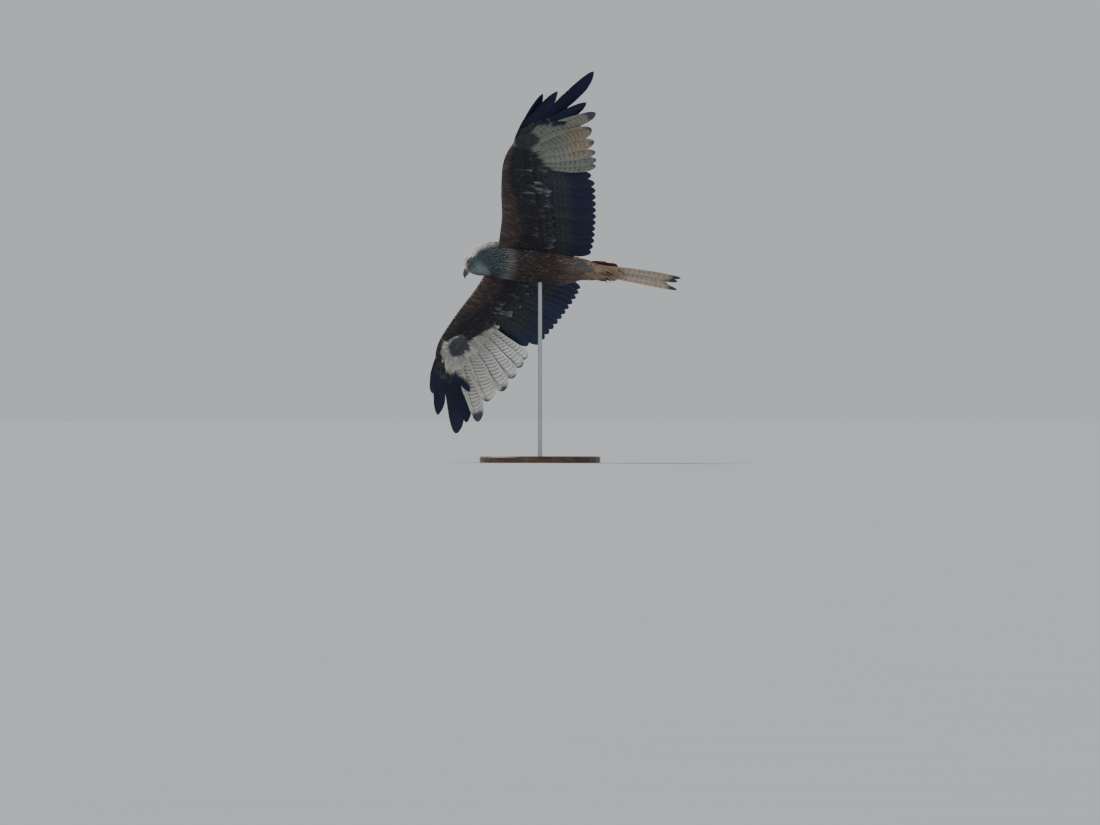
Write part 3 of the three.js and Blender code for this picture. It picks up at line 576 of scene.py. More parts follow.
points, quads, caps, start = [], [], [], 0
for rings in forms:
    form_points, form_quads, form_caps = tube(rings)
    points.append(form_points)
    quads.append(form_quads + start)
    caps.append(form_caps + start)
    start += len(form_points)
points = placed(np.concatenate(points))
raw = bpy.data.meshes.new("skin_forms")
raw.from_pydata(points.tolist(), [], np.concatenate(quads).tolist() + np.concatenate(caps).tolist())
print(len(forms), "forms,", len(points), "points before the remesh")

# %% [markdown]
# The forms still cut through each other. A boolean union would leave a crease at every join. A remesh with
# voxels of 2.4 mm melts shoulders, thighs and brows into the body, and a light smoothing takes off the
# steps that the voxels leave.

# %% Skin remesh
VOXEL = 0.0024
SMOOTHING = 5


def finished(obj):
    """The object with its modifiers applied to its mesh."""
    bpy.context.view_layer.update()
    made = bpy.data.meshes.new_from_object(obj.evaluated_get(bpy.context.evaluated_depsgraph_get()))
    made.name = obj.name
    obj.modifiers.clear()
    obj.data = made
    return obj


skin = link(bpy.data.objects.new("skin", raw))
bpy.context.view_layer.objects.active = skin
remesh = skin.modifiers.new("melt", "REMESH")
remesh.mode = "VOXEL"
remesh.voxel_size = VOXEL
relax = skin.modifiers.new("relax", "SMOOTH")
relax.factor = 0.5
relax.iterations = SMOOTHING
finished(skin)
skin.data.shade_smooth()
print("skin", len(skin.data.polygons), "faces")

# %% [markdown]
# A feather is a thin closed lens: an upper and a lower face that share their rim. One flat sheet would be
# lighter, but it has no edge to catch the light. Its u runs across, from the inner edge at -1 to the outer
# edge at 1, and its v from the foot to the tip. All feathers of one piece go into one mesh as whole
# arrays, because thousands of objects would be slow to make and to export.

# %% Vanes as meshes
def lens_faces(rows, columns):
    """Grid quads of the upper face, and the map from grid places to the lower face's own points.

    The rim is shared, so the lower face has new points only inside it.
    """
    grid = np.arange(rows * columns).reshape(rows, columns)
    quads = np.stack([grid[:-1, :-1], grid[:-1, 1:], grid[1:, 1:], grid[1:, :-1]], -1).reshape(-1, 4)
    lower = grid.copy()
    lower[1:-1, 1:-1] = rows * columns + np.arange((rows - 2) * (columns - 2)).reshape(rows - 2, columns - 2)
    return quads, lower.ravel()


class Vanes:
    """Feathers gathered for one piece, to be made into one mesh."""

    def __init__(self, name):
        self.name = name
        self.points, self.faces, self.corners, self.start, self.count = [], [], {}, 0, 0

    def add(self, upper, lower, u, v, looks_up, looks_down=None):
        """upper and lower have shape (feathers, rows, columns, 3), and the looks name values for each."""
        n, rows, columns = upper.shape[:3]
        quads, below = lens_faces(rows, columns)
        inner = lower[:, 1:-1, 1:-1].reshape(n, -1, 3)
        points = np.concatenate([upper.reshape(n, -1, 3), inner], 1)
        flat = points[0][quads]
        facing = np.cross(flat[:, 1] - flat[:, 0], flat[:, 3] - flat[:, 0]).sum(0)
        outward = (upper[0] - lower[0]).sum((0, 1))
        order = quads if facing @ outward > 0 else quads[:, ::-1]
        faces = np.concatenate([order, below[order[:, ::-1]]])
        each = self.start + np.arange(n)[:, None, None] * points.shape[1]
        self.faces.append((faces[None] + each).reshape(-1, 4))
        whole = (n, rows, columns)
        vane = {"vane": np.stack([np.broadcast_to(u, whole), np.broadcast_to(v, whole)], -1)}
        looks_down = (looks_down or looks_up) | vane
        looks_up = looks_up | vane
        for key in looks_up:
            size = looks_up[key].shape[-1]
            up = np.broadcast_to(looks_up[key], whole + (size,)).reshape(n, -1, size)
            down = np.broadcast_to(looks_down[key], whole + (size,)).reshape(n, -1, size)
            corner = np.concatenate([up[:, order], down[:, order[:, ::-1]]], 1)
            self.corners.setdefault(key, []).append(corner.reshape(-1, size).astype(np.float32))
        self.points.append(points.reshape(-1, 3))
        self.start += n * points.shape[1]
        self.count += n

    def made(self, material, slot, *replaced):
        """The piece: its mesh, with the corners' values and the nodes that it stands for. The slot is not
        used.
        """
        points = placed(np.concatenate(self.points)).astype(np.float32)
        faces = np.concatenate(self.faces).astype(np.int32)
        corners = {key: np.concatenate(parts) for key, parts in self.corners.items()}
        mesh = bpy.data.meshes.new(self.name)
        mesh.vertices.add(len(points))
        mesh.vertices.foreach_set("co", points.ravel())
        mesh.loops.add(faces.size)
        mesh.loops.foreach_set("vertex_index", faces.ravel())
        mesh.polygons.add(len(faces))
        mesh.polygons.foreach_set("loop_start", np.arange(0, faces.size, 4, dtype=np.int32))
        mesh.update(calc_edges=True)
        for name, key in (("vane", "vane"), ("OFBake", "bake")):
            layer = mesh.uv_layers.new(name=name)
            layer.uv.foreach_set("vector", corners[key].ravel())
        for name in ("tint", "fringe", "streak", "form"):
            layer = mesh.color_attributes.new(name, "FLOAT_COLOR", "CORNER")
            layer.data.foreach_set("color", corners[name].ravel())
        mesh.shade_smooth()
        mesh.set_sharp_from_angle(angle=math.radians(75))
        mesh.materials.append(material)
        piece = link(bpy.data.objects.new(self.name, mesh))
        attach(piece, "root")
        if replaced:
            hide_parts(*replaced)
        print(self.name, self.count, "feathers,", 2 * len(faces), "triangles")
        return piece


# %% [markdown]
# Each corner of a vane's mesh carries what the paint needs: the ground colour, the colour and strength of
# the fringe, those of the shaft's streak, and numbers for crossbars and length. A material for each kind
# of feather could hold them as well. With the values in the mesh, one paint serves every feather, and the
# markings can run across hundreds of them.


# %% What a corner carries
def look(tint, fringe, edge, streak, line, bars=0.0, length=30.0):
    """The four corner values: ground, fringe with its strength, shaft streak with its strength, and form."""
    tint, fringe, streak = (np.asarray(c, float) for c in (tint, fringe, streak))
    shape = np.broadcast_shapes(
        tint.shape[:-1], fringe.shape[:-1], streak.shape[:-1],
        *(np.shape(x) for x in (edge, line, bars, length)),
    )

    def whole(colour, strength):
        colour = np.broadcast_to(colour, shape + (3,))
        return np.concatenate([colour, np.broadcast_to(strength, shape)[..., None]], -1)

    return {
        "tint": whole(tint, 1.0),
        "fringe": whole(fringe, edge),
        "streak": whole(streak, line),
        "form": np.stack([np.broadcast_to(x, shape) for x in (bars, np.asarray(length) * MM, 0.0, 1.0)], -1),
    }


print("corner values:", ", ".join(look(paint(0, 0, 0), paint(0, 0, 0), 0, paint(0, 0, 0), 0)))

# %% [markdown]
# A material is a tree of nodes. Written out, each node takes several lines, and the formula is lost. A
# small class adds a node, feeds it and hands back its output in one call, so a tree reads like a sum.


# %% Node trees
class Nodes:
    """A short way to write a node tree: each call adds a node and returns its first output."""

    def __init__(self, name):
        self.material = bpy.data.materials.new(name)
        self.material.use_nodes = True
        self.tree = self.material.node_tree
        self.shader = self.tree.nodes["Principled BSDF"]

    def feed(self, socket, value):
        """Links an output, or sets a number. A colour of three values gets a fourth, 1."""
        if isinstance(value, bpy.types.NodeSocket):
            self.tree.links.new(value, socket)
        else:
            socket.default_value = (*value, 1) if isinstance(value, np.ndarray) else value

    def add(self, kind, inputs=(), output=0, **settings):
        """A node of a kind, with its inputs fed by name or number. Returns one output."""
        node = self.tree.nodes.new(kind)
        for key, value in settings.items():
            setattr(node, key, value)
        for key, value in dict(inputs).items():
            self.feed(node.inputs[key], value)
        return node.outputs[output]

    def maths(self, operation, a, b=0.0, c=0.0):
        return self.add("ShaderNodeMath", {0: a, 1: b, 2: c}, operation=operation)

    def step(self, value, low, high):
        """The same smooth step as rise."""
        span = {"Value": value, "From Min": low, "From Max": high}
        return self.add("ShaderNodeMapRange", span, interpolation_type="SMOOTHSTEP")

    def mixed(self, share, a, b, way="MIX"):
        """Colour a where share is 0 and colour b where it is 1, or one of the other ways of mixing."""
        return self.add("ShaderNodeMix", {0: share, 6: a, 7: b}, output=2, data_type="RGBA", blend_type=way)

    def noise(self, scale, detail=3.0, where=None):
        """Noise in the object's own space, or over another map."""
        where = self.add("ShaderNodeTexCoord", output=3) if where is None else where
        return self.add("ShaderNodeTexNoise", {"Vector": where, "Scale": scale, "Detail": detail})

    def surface(self, name, value):
        """Feeds one input of the shader."""
        self.feed(self.shader.inputs[name], value)

    def fixed(self, **values):
        """Plain numbers on the shader's own sockets."""
        for key, value in values.items():
            self.surface(key.replace("_", " "), value)

    def bump(self, height, strength, distance):
        relief = {"Height": height, "Strength": strength, "Distance": distance}
        self.surface("Normal", self.add("ShaderNodeBump", relief))


print("calls that add a node:", [name for name in vars(Nodes) if not name.startswith("_")])

# %% [markdown]
# Plumage is paint and relief. The ground colour comes from the corners. Over it go thin dark crossbars, the
# shaft's streak, a paler fringe at the edge and tip, and an uneven value, as no two feathers wear alike.
# The relief is the comb of the barbs, which leave the shaft at a slant, and the light catches them. Barbs
# in the mesh would cost millions of faces, so here they are the only form that is drawn.

# %% Plumage material
BAR_SHADE = (0.16, 0.15, 0.15, 1)
BARB_SLANT = 0.006
BAR_SPACE = 0.0145


def plumage(name, streak_width, barb_space, gloss=0.72):
    """Corner colours with bars, fringe, streak, wear and barbs. Spaces are in metres.

    off is the distance from the shaft, |2u - 1|, and reach the place along the feather, v times its length.
    """
    n = Nodes(name)
    tint = n.add("ShaderNodeVertexColor", layer_name="tint")
    fringe = n.add("ShaderNodeVertexColor", layer_name="fringe").node.outputs
    streak = n.add("ShaderNodeVertexColor", layer_name="streak").node.outputs
    form = n.add("ShaderNodeVertexColor", layer_name="form")
    form = n.add("ShaderNodeSeparateColor", {0: form}).node.outputs
    uv = n.add("ShaderNodeSeparateXYZ", {0: n.add("ShaderNodeUVMap", uv_map="vane")}).node.outputs
    along = uv[1]
    off = n.maths("ABSOLUTE", n.maths("MULTIPLY_ADD", uv[0], 2.0, -1.0))
    reach = n.maths("MULTIPLY", along, form[1])
    rough = n.noise(140.0, 2.0)
    wander = n.maths("MULTIPLY_ADD", rough, 0.34, -0.17)

    saw = n.maths("FRACT", n.maths("DIVIDE", n.maths("MULTIPLY_ADD", wander, BAR_SPACE, reach), BAR_SPACE))
    bar = n.maths("ABSOLUTE", n.maths("MULTIPLY_ADD", saw, 2.0, -1.0))
    bar = n.maths("MULTIPLY", n.step(bar, 0.62, 0.82), form[0])
    barred = n.mixed(bar, tint, n.mixed(1.0, tint, BAR_SHADE, "MULTIPLY"))

    sides = n.step(n.maths("ADD", off, wander), 0.62, 0.98)
    tip = n.step(n.maths("ADD", along, wander), 0.80, 0.99)
    edge = n.maths("MULTIPLY", n.maths("MAXIMUM", sides, tip), fringe["Alpha"])
    fringed = n.mixed(edge, barred, fringe["Color"])

    line = n.maths("ADD", off, n.maths("MULTIPLY", wander, streak_width))
    line = n.step(line, streak_width, streak_width * 0.45)
    line = n.maths("MULTIPLY", line, n.step(along, 0.995, 0.86))
    lined = n.mixed(n.maths("MULTIPLY", line, streak["Alpha"]), fringed, streak["Color"])

    comb = n.maths("DIVIDE", n.maths("MULTIPLY_ADD", off, BARB_SLANT, reach), barb_space)
    comb = n.maths("SINE", n.maths("MULTIPLY", comb, 2 * math.pi))
    # The comb's faint stripes in the colour are painted shade and light of the barbs; the noise is uneven
    # wear.
    wear_and_barb_shade = n.maths("MULTIPLY_ADD", comb, 0.035, n.maths("MULTIPLY_ADD", n.noise(60.0), 0.5, 0.76))
    grey = n.add("ShaderNodeCombineColor", {0: wear_and_barb_shade, 1: wear_and_barb_shade, 2: wear_and_barb_shade})
    n.surface("Base Color", n.mixed(1.0, lined, grey, "MULTIPLY"))
    n.surface("Roughness", n.maths("MULTIPLY_ADD", rough, 0.16, gloss - 0.08))
    n.fixed(Sheen_Weight=0.04, Sheen_Roughness=0.5, Specular_IOR_Level=0.2)
    n.bump(n.maths("MULTIPLY_ADD", comb, 0.5, rough), 0.35, 0.00025)
    return n.material


flight_paint = plumage("flight_feather_vane", 0.075, 0.0011, 0.6)
covert_paint = plumage("covert_vane", 0.16, 0.0009)
contour_paint = plumage("contour_feather", 0.36, 0.0008, 0.78)
print("plumage materials:", flight_paint.name, covert_paint.name, contour_paint.name)

# %% [markdown]
# The small feathers grow in staggered rows, like shingles, each row half a step off from the one before.
# Scattering them by chance would leave bald spots. A feather lies along its coat: its foot is sunk in the
# skin, and its tip stands at the coat's full height over the feathers behind it. Its sides droop, so light
# shows its rounded edge.


# %% Laying feathers on a coat
def tiers(coat, p_span, q_span, along_step, across_step, seed, loose=0.3):
    """Staggered places: rows along_step mm apart in p, and in each row places across_step mm apart."""
    draw = np.random.default_rng(seed)
    length = coat.along.mean(1).ravel()
    place = np.concatenate([[0], np.cumsum(0.5 * (length[1:] + length[:-1]) / (len(length) - 1))])
    share = np.linspace(0, 1, len(length))
    low, high = np.interp(p_span, share, place)
    rows = max(2, int(round((high - low) / along_step)))
    span = q_span[1] - q_span[0]
    found_p, found_q = [], []
    for k, p in enumerate(np.interp(np.linspace(low, high, rows), place, share)):
        width = coat.read(coat.across, np.full(24, p), np.linspace(*q_span, 24)).mean() * span
        many = max(2, int(round(width / across_step)))
        jitter = draw.uniform(-loose, loose, (2, many))
        q = (np.arange(many) + 0.25 + 0.5 * (k % 2) + jitter[0]) / many
        near = min(int(p * len(length)), len(length) - 1)
        found_q.append(q_span[0] + q * span)
        found_p.append(p + jitter[1] * along_step / length[near])
    return np.clip(np.concatenate(found_p), 0, 1), np.concatenate(found_q)


def rounded(v, foot, start):
    """Half width along a feather: from foot to 1 by the middle, then a quarter circle down to the tip."""
    swell = foot + (1 - foot) * rise(v, 0, 0.5)
    end = np.sqrt(np.clip(1 - (np.clip(v - start, 0, 1) / (1 - start)) ** 2, 0, 1))
    return swell * np.maximum(end, 0.05)


# A feather's patch on the bake map, and how far by chance it turns and tilts, in radians
PATCH = 0.003
YAW, TILT = 0.10, 0.06
FOOT_WIDTH = 0.4


def lay(
    vanes, coat, p, q, length, width, height, looks, seed,
    rows=6, columns=5, cell=(0, 0, 1, 1), start=0.55, dome=0.10, thick=0.32,
):
    """Feathers on a coat, with their feet at p and q. height is (foot, tip) in mm.

    Along: v times the length, less at the edges by the square of u. Across: u times half the width,
    rounded. Level: foot + (tip - foot) v^0.9, domed by 1 - u^2 and drooping by v^4.
    """
    draw = np.random.default_rng(seed)
    n = len(p)
    v = np.linspace(0, 1, rows)[None, :, None]
    u = np.linspace(-1, 1, columns)[None, None, :]
    long, wide, foot, tip = (
        np.broadcast_to(np.asarray(x, float), n)[:, None, None] for x in (length, width, *height)
    )
    long = long * draw.uniform(0.9, 1.1, (n, 1, 1))
    yaw = draw.normal(0, YAW, (n, 1, 1))
    off = u * 0.5 * wide * rounded(v, FOOT_WIDTH, start)
    far = v * long - 0.10 * wide * np.abs(u) ** 2 * v
    along, across = (coat.read(g, p, q)[:, 0][:, None, None] for g in (coat.along, coat.across))
    at_p = p[:, None, None] + (far * np.cos(yaw) - off * np.sin(yaw)) / along
    at_q = q[:, None, None] + (far * np.sin(yaw) + off * np.cos(yaw)) / np.maximum(across, 8)
    tilt = draw.normal(0, TILT, (n, 1, 1))
    climb = foot + (tip - foot) * v ** 0.9 * draw.uniform(0.82, 1.05, (n, 1, 1))
    arch = dome * wide * (1 - u**2) * np.minimum(1, v * 2) - 0.05 * wide * v**4
    level = climb + arch + tilt * off
    upper = coat.at(at_p, at_q, level)
    lower = coat.at(at_p, at_q, level - thick * (1 - 0.5 * v))
    spot = (q[:, None, None] % 1 + PATCH * u / 2, p[:, None, None] + PATCH * v)
    spot = np.clip(np.stack(np.broadcast_arrays(*spot), -1), 0.004, 0.996)
    spot = spot * np.array(cell[2:]) + np.array(cell[:2])
    luck = draw.uniform(0, 1, (n, 1, 1))
    given = looks(at_p, at_q, luck) | {"bake": np.broadcast_to(spot, upper.shape[:3] + (2,))}
    vanes.add(upper, lower, (u + 1) / 2, v, given)


print("half width from foot to tip:", rounded(np.linspace(0, 1, 6), FOOT_WIDTH, 0.55).round(2).tolist())

# %% [markdown]
# Markings first, as functions of the place on the body. The same functions colour the skin and the
# feathers, which separate paintings would not keep in step. The crown and nape are whitish with thin dark
# streaks, the face and neck grey, the breast grey with dark streaks, the belly is dark rufous, a patch at
# the vent is pale grey, and the coverts under the tail are orange-buff. The back is dark brown with rufous
# edges, and the rump rufous. A dark line runs from the bill through the eye. Over the breast go painted
# light and shade: it is lighter on the bird's right side and darker on its left.

# %% Body markings
CROWN, CROWN_EDGE, CROWN_STREAK = paint(234, 231, 228), paint(216, 194, 172), paint(104, 94, 88)
FACE, FACE_STREAK, CHIN = paint(123, 138, 142), paint(36, 44, 50), paint(118, 120, 124)
NECK_GREY, NECK_EDGE, NECK_STREAK = paint(59, 72, 78), paint(124, 134, 138), paint(15, 18, 25)
BREAST = paint(124, 124, 125)
BELLY, BELLY_EDGE, BELLY_STREAK = paint(62, 53, 52), paint(94, 77, 68), paint(22, 20, 23)
VENT, VENT_EDGE = paint(86, 88, 86), paint(112, 114, 110)
UNDERTAIL, UNDERTAIL_EDGE = paint(158, 130, 108), paint(184, 156, 130)
MANTLE, MANTLE_EDGE = paint(58, 45, 38), paint(118, 84, 60)
RUMP, RUMP_EDGE = paint(112, 76, 56), paint(146, 102, 74)
FLANK = paint(106, 88, 80)
LORE = paint(66, 74, 80)
# s counts stations from the bill: 5 is the skull's rear, 9 the shoulders, 11 the breast's lowest place,
# 14 the hips and the last one the stub of the tail
LAST_STATION = len(stations) - 1


def eye_line(p, q):
    """The dark line from the bill's base through the eye: a band of heights along a bent middle line."""
    ahead, aside, up = np.moveaxis(head_part(body_coat.at(p, q)), -1, 0)
    middle = np.interp(ahead, [-12, -4, 5, 15, 26], [2, 3, 4.2, 2.0, -5])
    reach = np.interp(ahead, [-12, -4, 5, 15, 26], [2, 4.6, 7.8, 6.4, 4.5])
    band = rise(1 - np.abs(up - middle) / reach, 0, 0.4)
    return band * rise(np.abs(aside), 3, 7) * rise(ahead, -14, -6)


def body_look(p, q, luck=0.5):
    """Colours by station along the body and by side: up is 1 on the back and -1 on the belly."""
    p, q, luck = np.broadcast_arrays(p, q, luck)
    s = p * LAST_STATION
    up, flank = np.sin(2 * math.pi * q), np.cos(2 * math.pi * q)
    wander = ripple(s * 2.2, flank * 3 + up * 2, 11) * 0.5
    crown = rise(up + 0.18 * wander, 0.10, 0.40)
    chin = rise(-up, 0.72, 0.95) * rise(s, 4.6, 2.5)
    cheek = blend(FACE, NECK_GREY * 1.25, rise(up + 0.2 * wander, -0.75, 0.05))
    head = both(both((cheek, NECK_EDGE), (CROWN, CROWN_EDGE), crown), (CHIN, CHIN), chin)
    neck_back = rise(up, 0.1, 0.6) * rise(s, 9.0, 6.4)
    neck = both((NECK_GREY, NECK_EDGE), (CROWN, CROWN_EDGE), neck_back)
    back = rise(up, -0.05, 0.35)
    # The breast is painted darker on the bird's left side and lighter on its right: painted shade and painted
    # light, not a marking.
    breast_lit_and_shaded = BREAST * (1.1 - 0.4 * rise(flank, -0.5, 0.5))[..., None]
    body = both((breast_lit_and_shaded, breast_lit_and_shaded * 1.15), (BELLY, BELLY_EDGE), rise(s, 9.6, 10.8))
    body = both(body, (MANTLE, MANTLE_EDGE), back)
    rear = rise(s + 0.2 * wander, 12.3, 13.9)
    body = both(body, both((FLANK, UNDERTAIL), (RUMP, RUMP_EDGE), back), rear)
    patch = np.exp(-(((s - 14.2) / 0.65) ** 2)) * rise(flank + 0.15 * wander, 0.45, 0.75) * (1 - back)
    body = both(body, (VENT, VENT_EDGE), patch)
    under = rise(s + 0.2 * wander, 14.9, 16.0) * (1 - back) * (1 - patch)
    body = both(body, (UNDERTAIL, UNDERTAIL_EDGE), under)
    to_neck = rise(s + 0.9 * wander, 3.4, 6.4)
    to_body = rise(s + 0.6 * wander, 8.2, 10.2)
    tint, fringe = both(both(head, neck, to_neck), body, to_body)
    tint = blend(tint, LORE, 0.85 * eye_line(p, q))
    streak = blend(blend(FACE_STREAK, CROWN_STREAK, crown), NECK_STREAK, to_neck)
    streak = blend(streak, BELLY_STREAK, to_body)
    light = chance_light(luck, 0.55)
    line = 0.5 + 0.5 * rise(s, 4.6, 6.0) - 0.3 * rise(s, 8.8, 10) - 0.3 * rise(s, 13.0, 14.6)
    line = (line - 0.25 * chin * (1 - to_neck)) * (0.7 + 0.5 * luck)
    fleck = rise(luck, 0.90, 0.96) * to_body * (1 - back)
    fringe = blend(fringe, NECK_EDGE, 0.7 * fleck)
    edge = 0.5 + 0.3 * to_body * back + 0.3 * fleck - 0.2 * to_body * (1 - back)
    return look(tint * light, fringe * light, edge, streak, line)


for name, s, q in (("crown", 3, 0.25), ("face", 2, 0.9), ("belly", 11, 0.75), ("rump", 15, 0.25)):
    print(name, body_look(s / LAST_STATION, q)["tint"][:3].round(3).tolist())

# %% [markdown]
# The eye of a kite is pale amber, large and deep set. Feathers stop at a ring of bare lid round it, and
# they stop where the soft yellow cere of the bill begins. The head's feathers are the smallest, the neck's
# are long and narrow lances, and the body's are broad. Each size follows the place along the body, so no
# border shows between them. The brow over the eye wears tiny feathers of its own.

# %% Feathers of head, neck and body
EYE_AHEAD, EYE_SIDE, EYE_UP, EYE_RADIUS, EYE_OPENING = 4, 15.8, 4.5, 7.2, 5.4


def clear_of_eyes(coat, p, q, length):
    """True where neither the foot nor the tip of a feather comes within the ring of lid round an eye."""
    keep = np.ones(len(p), bool)
    for reach in (0.0, 0.5, 1.0):
        spot = head_part(coat.at(p + reach * length / coat.read(coat.along, p, q)[:, 0], q))
        for sign in (1, -1):
            apart = spot - np.array([EYE_AHEAD, sign * (EYE_SIDE + 3), EYE_UP])
            keep &= np.hypot(apart[:, 0], apart[:, 2]) > EYE_OPENING + 1.4
            keep |= apart[:, 1] * sign < -14
    return keep


def body_height(p):
    """The coat's depth over the skin in mm, read from the depth of each ring of the body."""
    return np.interp(p * (RINGS - 1), np.arange(RINGS), body_depth)


def body_tiers(first, last, space, seed):
    """Staggered places between two stations, with their station and how far they lie up the back."""
    p, q = tiers(body_coat, (first / LAST_STATION, last / LAST_STATION), (0, 1), *space, seed)
    return p, q, p * LAST_STATION, np.sin(2 * math.pi * q)


head_vanes = Vanes("head_feathers")
p, q, _, _ = body_tiers(0.25, 5.6, (2.5, 2.5), 21)
size = np.interp(p * LAST_STATION, [0, 1.5, 3, 5.6], [3.2, 5.5, 8.0, 12.0])
keep = clear_of_eyes(body_coat, p, q, size)
p, q, size = p[keep], q[keep], size[keep]
width = size * np.interp(p * LAST_STATION, [0, 2, 5.6], [0.62, 0.54, 0.42])
crest = 2.6 * rise(np.sin(2 * math.pi * q), 0.2, 0.7)
lay(
    head_vanes, body_coat, p, q, size, width, (-0.5, body_height(p) * 0.85 + crest), body_look, 22,
    rows=6, columns=5, start=0.35, dome=0.12, thick=0.22,
)


def brow_painted_shade_look(coat):
    """The crown's white where the brow faces up, and painted shade in the eye line's dark where it faces
    down.
    """

    def given(p, q, luck=0.5):
        # Darker as the brow faces down: painted shade under the brow.
        top = rise((coat.read(coat.out, p, q) @ HEAD_TURN)[..., 2], -0.5, 0.4)
        tint = blend(LORE, CROWN, top) * chance_light(luck, 0.5)
        return look(tint, CROWN_EDGE, 0.3 * top, CROWN_STREAK, 0.6 * top)

    return given


def closed(rings):
    """Rings whose first point is given once more at the end."""
    return np.concatenate([rings, rings[:, :1]], 1)


for side, sign in SIDES.items():
    brow = brow_rows(sign)
    brow_coat = Coat(closed(limb_rings(brow, 24)), brow[:, :3], ring=True)
    p, q = tiers(brow_coat, (0.0, 0.92), (0, 1), 1.7, 1.9, 27)
    lay(
        head_vanes, brow_coat, p, q, 4.2, 1.9, (-0.2, 0.8), brow_painted_shade_look(brow_coat), 28,
        rows=5, columns=4, dome=0.1, thick=0.15,
    )

neck_vanes = Vanes("neck_feathers")
p, q, s, up = body_tiers(5.4, 9.8, (6.0, 6.2), 23)
size = np.interp(s, [5.4, 7, 9.8], [15, 25, 31])
lay(
    neck_vanes, body_coat, p, q, size, size * 0.34,
    (-0.6, body_height(p) * 0.88 + 2.8 * rise(up, 0.2, 0.7)), body_look, 24,
    rows=8, columns=5, start=0.25, dome=0.10, thick=0.28,
)

body_vanes = Vanes("body_feathers")
p, q, s, up = body_tiers(9.5, 16.4, (8.0, 8.2), 25)
size = np.interp(s, [9.5, 12, 16.4], [29, 31, 27])
lay(
    body_vanes, body_coat, p, q, size, size * 0.60,
    (-0.8, body_height(p) * 0.9 + 2.2 * rise(s, 13.5, 15) * (up > 0)), body_look, 26,
    rows=8, columns=7, start=0.45, dome=0.07, thick=0.3,
)
for vanes in (head_vanes, neck_vanes, body_vanes):
    print(vanes.name, vanes.count)

# %% [markdown]
# Each thigh wears long soft feathers, the kite's trousers, rufous and plain. They hang from the thigh's
# tube towards the foot.


# %% Thigh feathers
def thigh_look(p, q, luck=0.5):
    """Belly brown at the hip, paler and warmer towards the foot."""
    p, q, luck = np.broadcast_arrays(p, q, luck)
    light = chance_light(luck, 0.4)
    tint = blend(BELLY, FLANK, rise(p, 0.1, 0.6)) * light
    return look(tint, BELLY_EDGE * 1.3 * light, 0.5, BELLY_STREAK, 0.35)


thigh_vanes = Vanes("thigh_feathers")
thigh_coats = {}
for side, sign in SIDES.items():
    rows = thighs[side] - np.array([0, 0, 0, THIGH_DEPTH])
    coat = thigh_coats[side] = Coat(closed(limb_rings(rows, 48)), rows[:, :3], ring=True)
    p, q = tiers(coat, (0.02, 0.86), (0, 1), 5.0, 5.2, 31 + sign)
    lay(
        thigh_vanes, coat, p, q, 20, 9, (-0.6, 3.3), thigh_look, 33 + sign,
        rows=7, columns=5, start=0.3, cell=(0.5 * (sign < 0), 0, 0.5, 1),
    )
print("thigh feathers:", thigh_vanes.count)

# %% [markdown]
# Behind the thighs the feathers of the vent close over the shanks, so only the toes and claws show. On
# the left flank they are pale grey, and they turn orange-buff towards the tail.


# %% Vent feathers
def vent_look(p, q, luck=0.5):
    """From the flank's brown to orange-buff, with the pale grey patch on the left side."""
    p, q, luck = np.broadcast_arrays(p, q, luck)
    light = chance_light(luck, 0.35)
    side_on = np.cos(2 * math.pi * q)
    patch = rise(side_on, 0.35, 0.7) * rise(p, 0.12, 0.22) * rise(-p, -0.6, -0.45)
    tint = blend(blend(FLANK, UNDERTAIL, rise(p, 0.25, 0.6)), VENT, patch) * light
    fringe = blend(UNDERTAIL_EDGE, VENT_EDGE, patch) * light
    return look(tint, fringe, 0.35, BELLY_STREAK, 0.25 * (1 - patch))


vent_vanes = Vanes("vent_feathers")
p, q = tiers(fluff_coat, (0.06, 0.86), (0.46, 1.04), 6.0, 6.4, 37)
size = np.interp(p, [0, 0.5, 0.86], [26, 32, 30])
lay(
    vent_vanes, fluff_coat, p, q, size, size * 0.5, (-0.8, 3.2), vent_look, 38,
    rows=8, columns=5, start=0.35, dome=0.09, thick=0.28,
)
print("vent feathers:", vent_vanes.count)

# %% [markdown]
# Under the wing, from the front edge back: lesser coverts, dark rufous with orange edges near the front,
# blackish nearer the body; then median and greater coverts, blackish with pale tips in rows. Above: rufous
# lesser coverts with buff edges, a pale band of median coverts, and dark greater coverts.

# %% Wing markings
UNDER_LESSER, UNDER_LESSER_EDGE = paint(70, 61, 60), paint(104, 84, 72)
UNDER_MEDIAN, UNDER_MEDIAN_TIP = paint(41, 40, 46), paint(132, 131, 134)
UNDER_GREATER, UNDER_GREATER_TIP = paint(44, 46, 53), paint(140, 140, 142)
OVER_LESSER, OVER_LESSER_EDGE = paint(86, 58, 42), paint(136, 96, 66)
OVER_MEDIAN, OVER_MEDIAN_EDGE = paint(118, 88, 64), paint(160, 128, 96)
OVER_GREATER, OVER_GREATER_EDGE = paint(50, 40, 36), paint(118, 90, 68)
# The wrist's dark patch is painted lighter on the right wing than on the left: painted light on the right,
# painted shade on the left.
CARPAL_SHADED_LEFT_LIT_RIGHT, CARPAL_EDGE = {"left": paint(56, 60, 64), "right": paint(76, 80, 84)}, paint(106, 109, 110)
# The pale rim colour on this line is a painted highlight, laid on the right wing's front edge only.
DARK_STREAK, RIM_PAINTED_HIGHLIGHT = paint(20, 18, 20), paint(176, 158, 146)
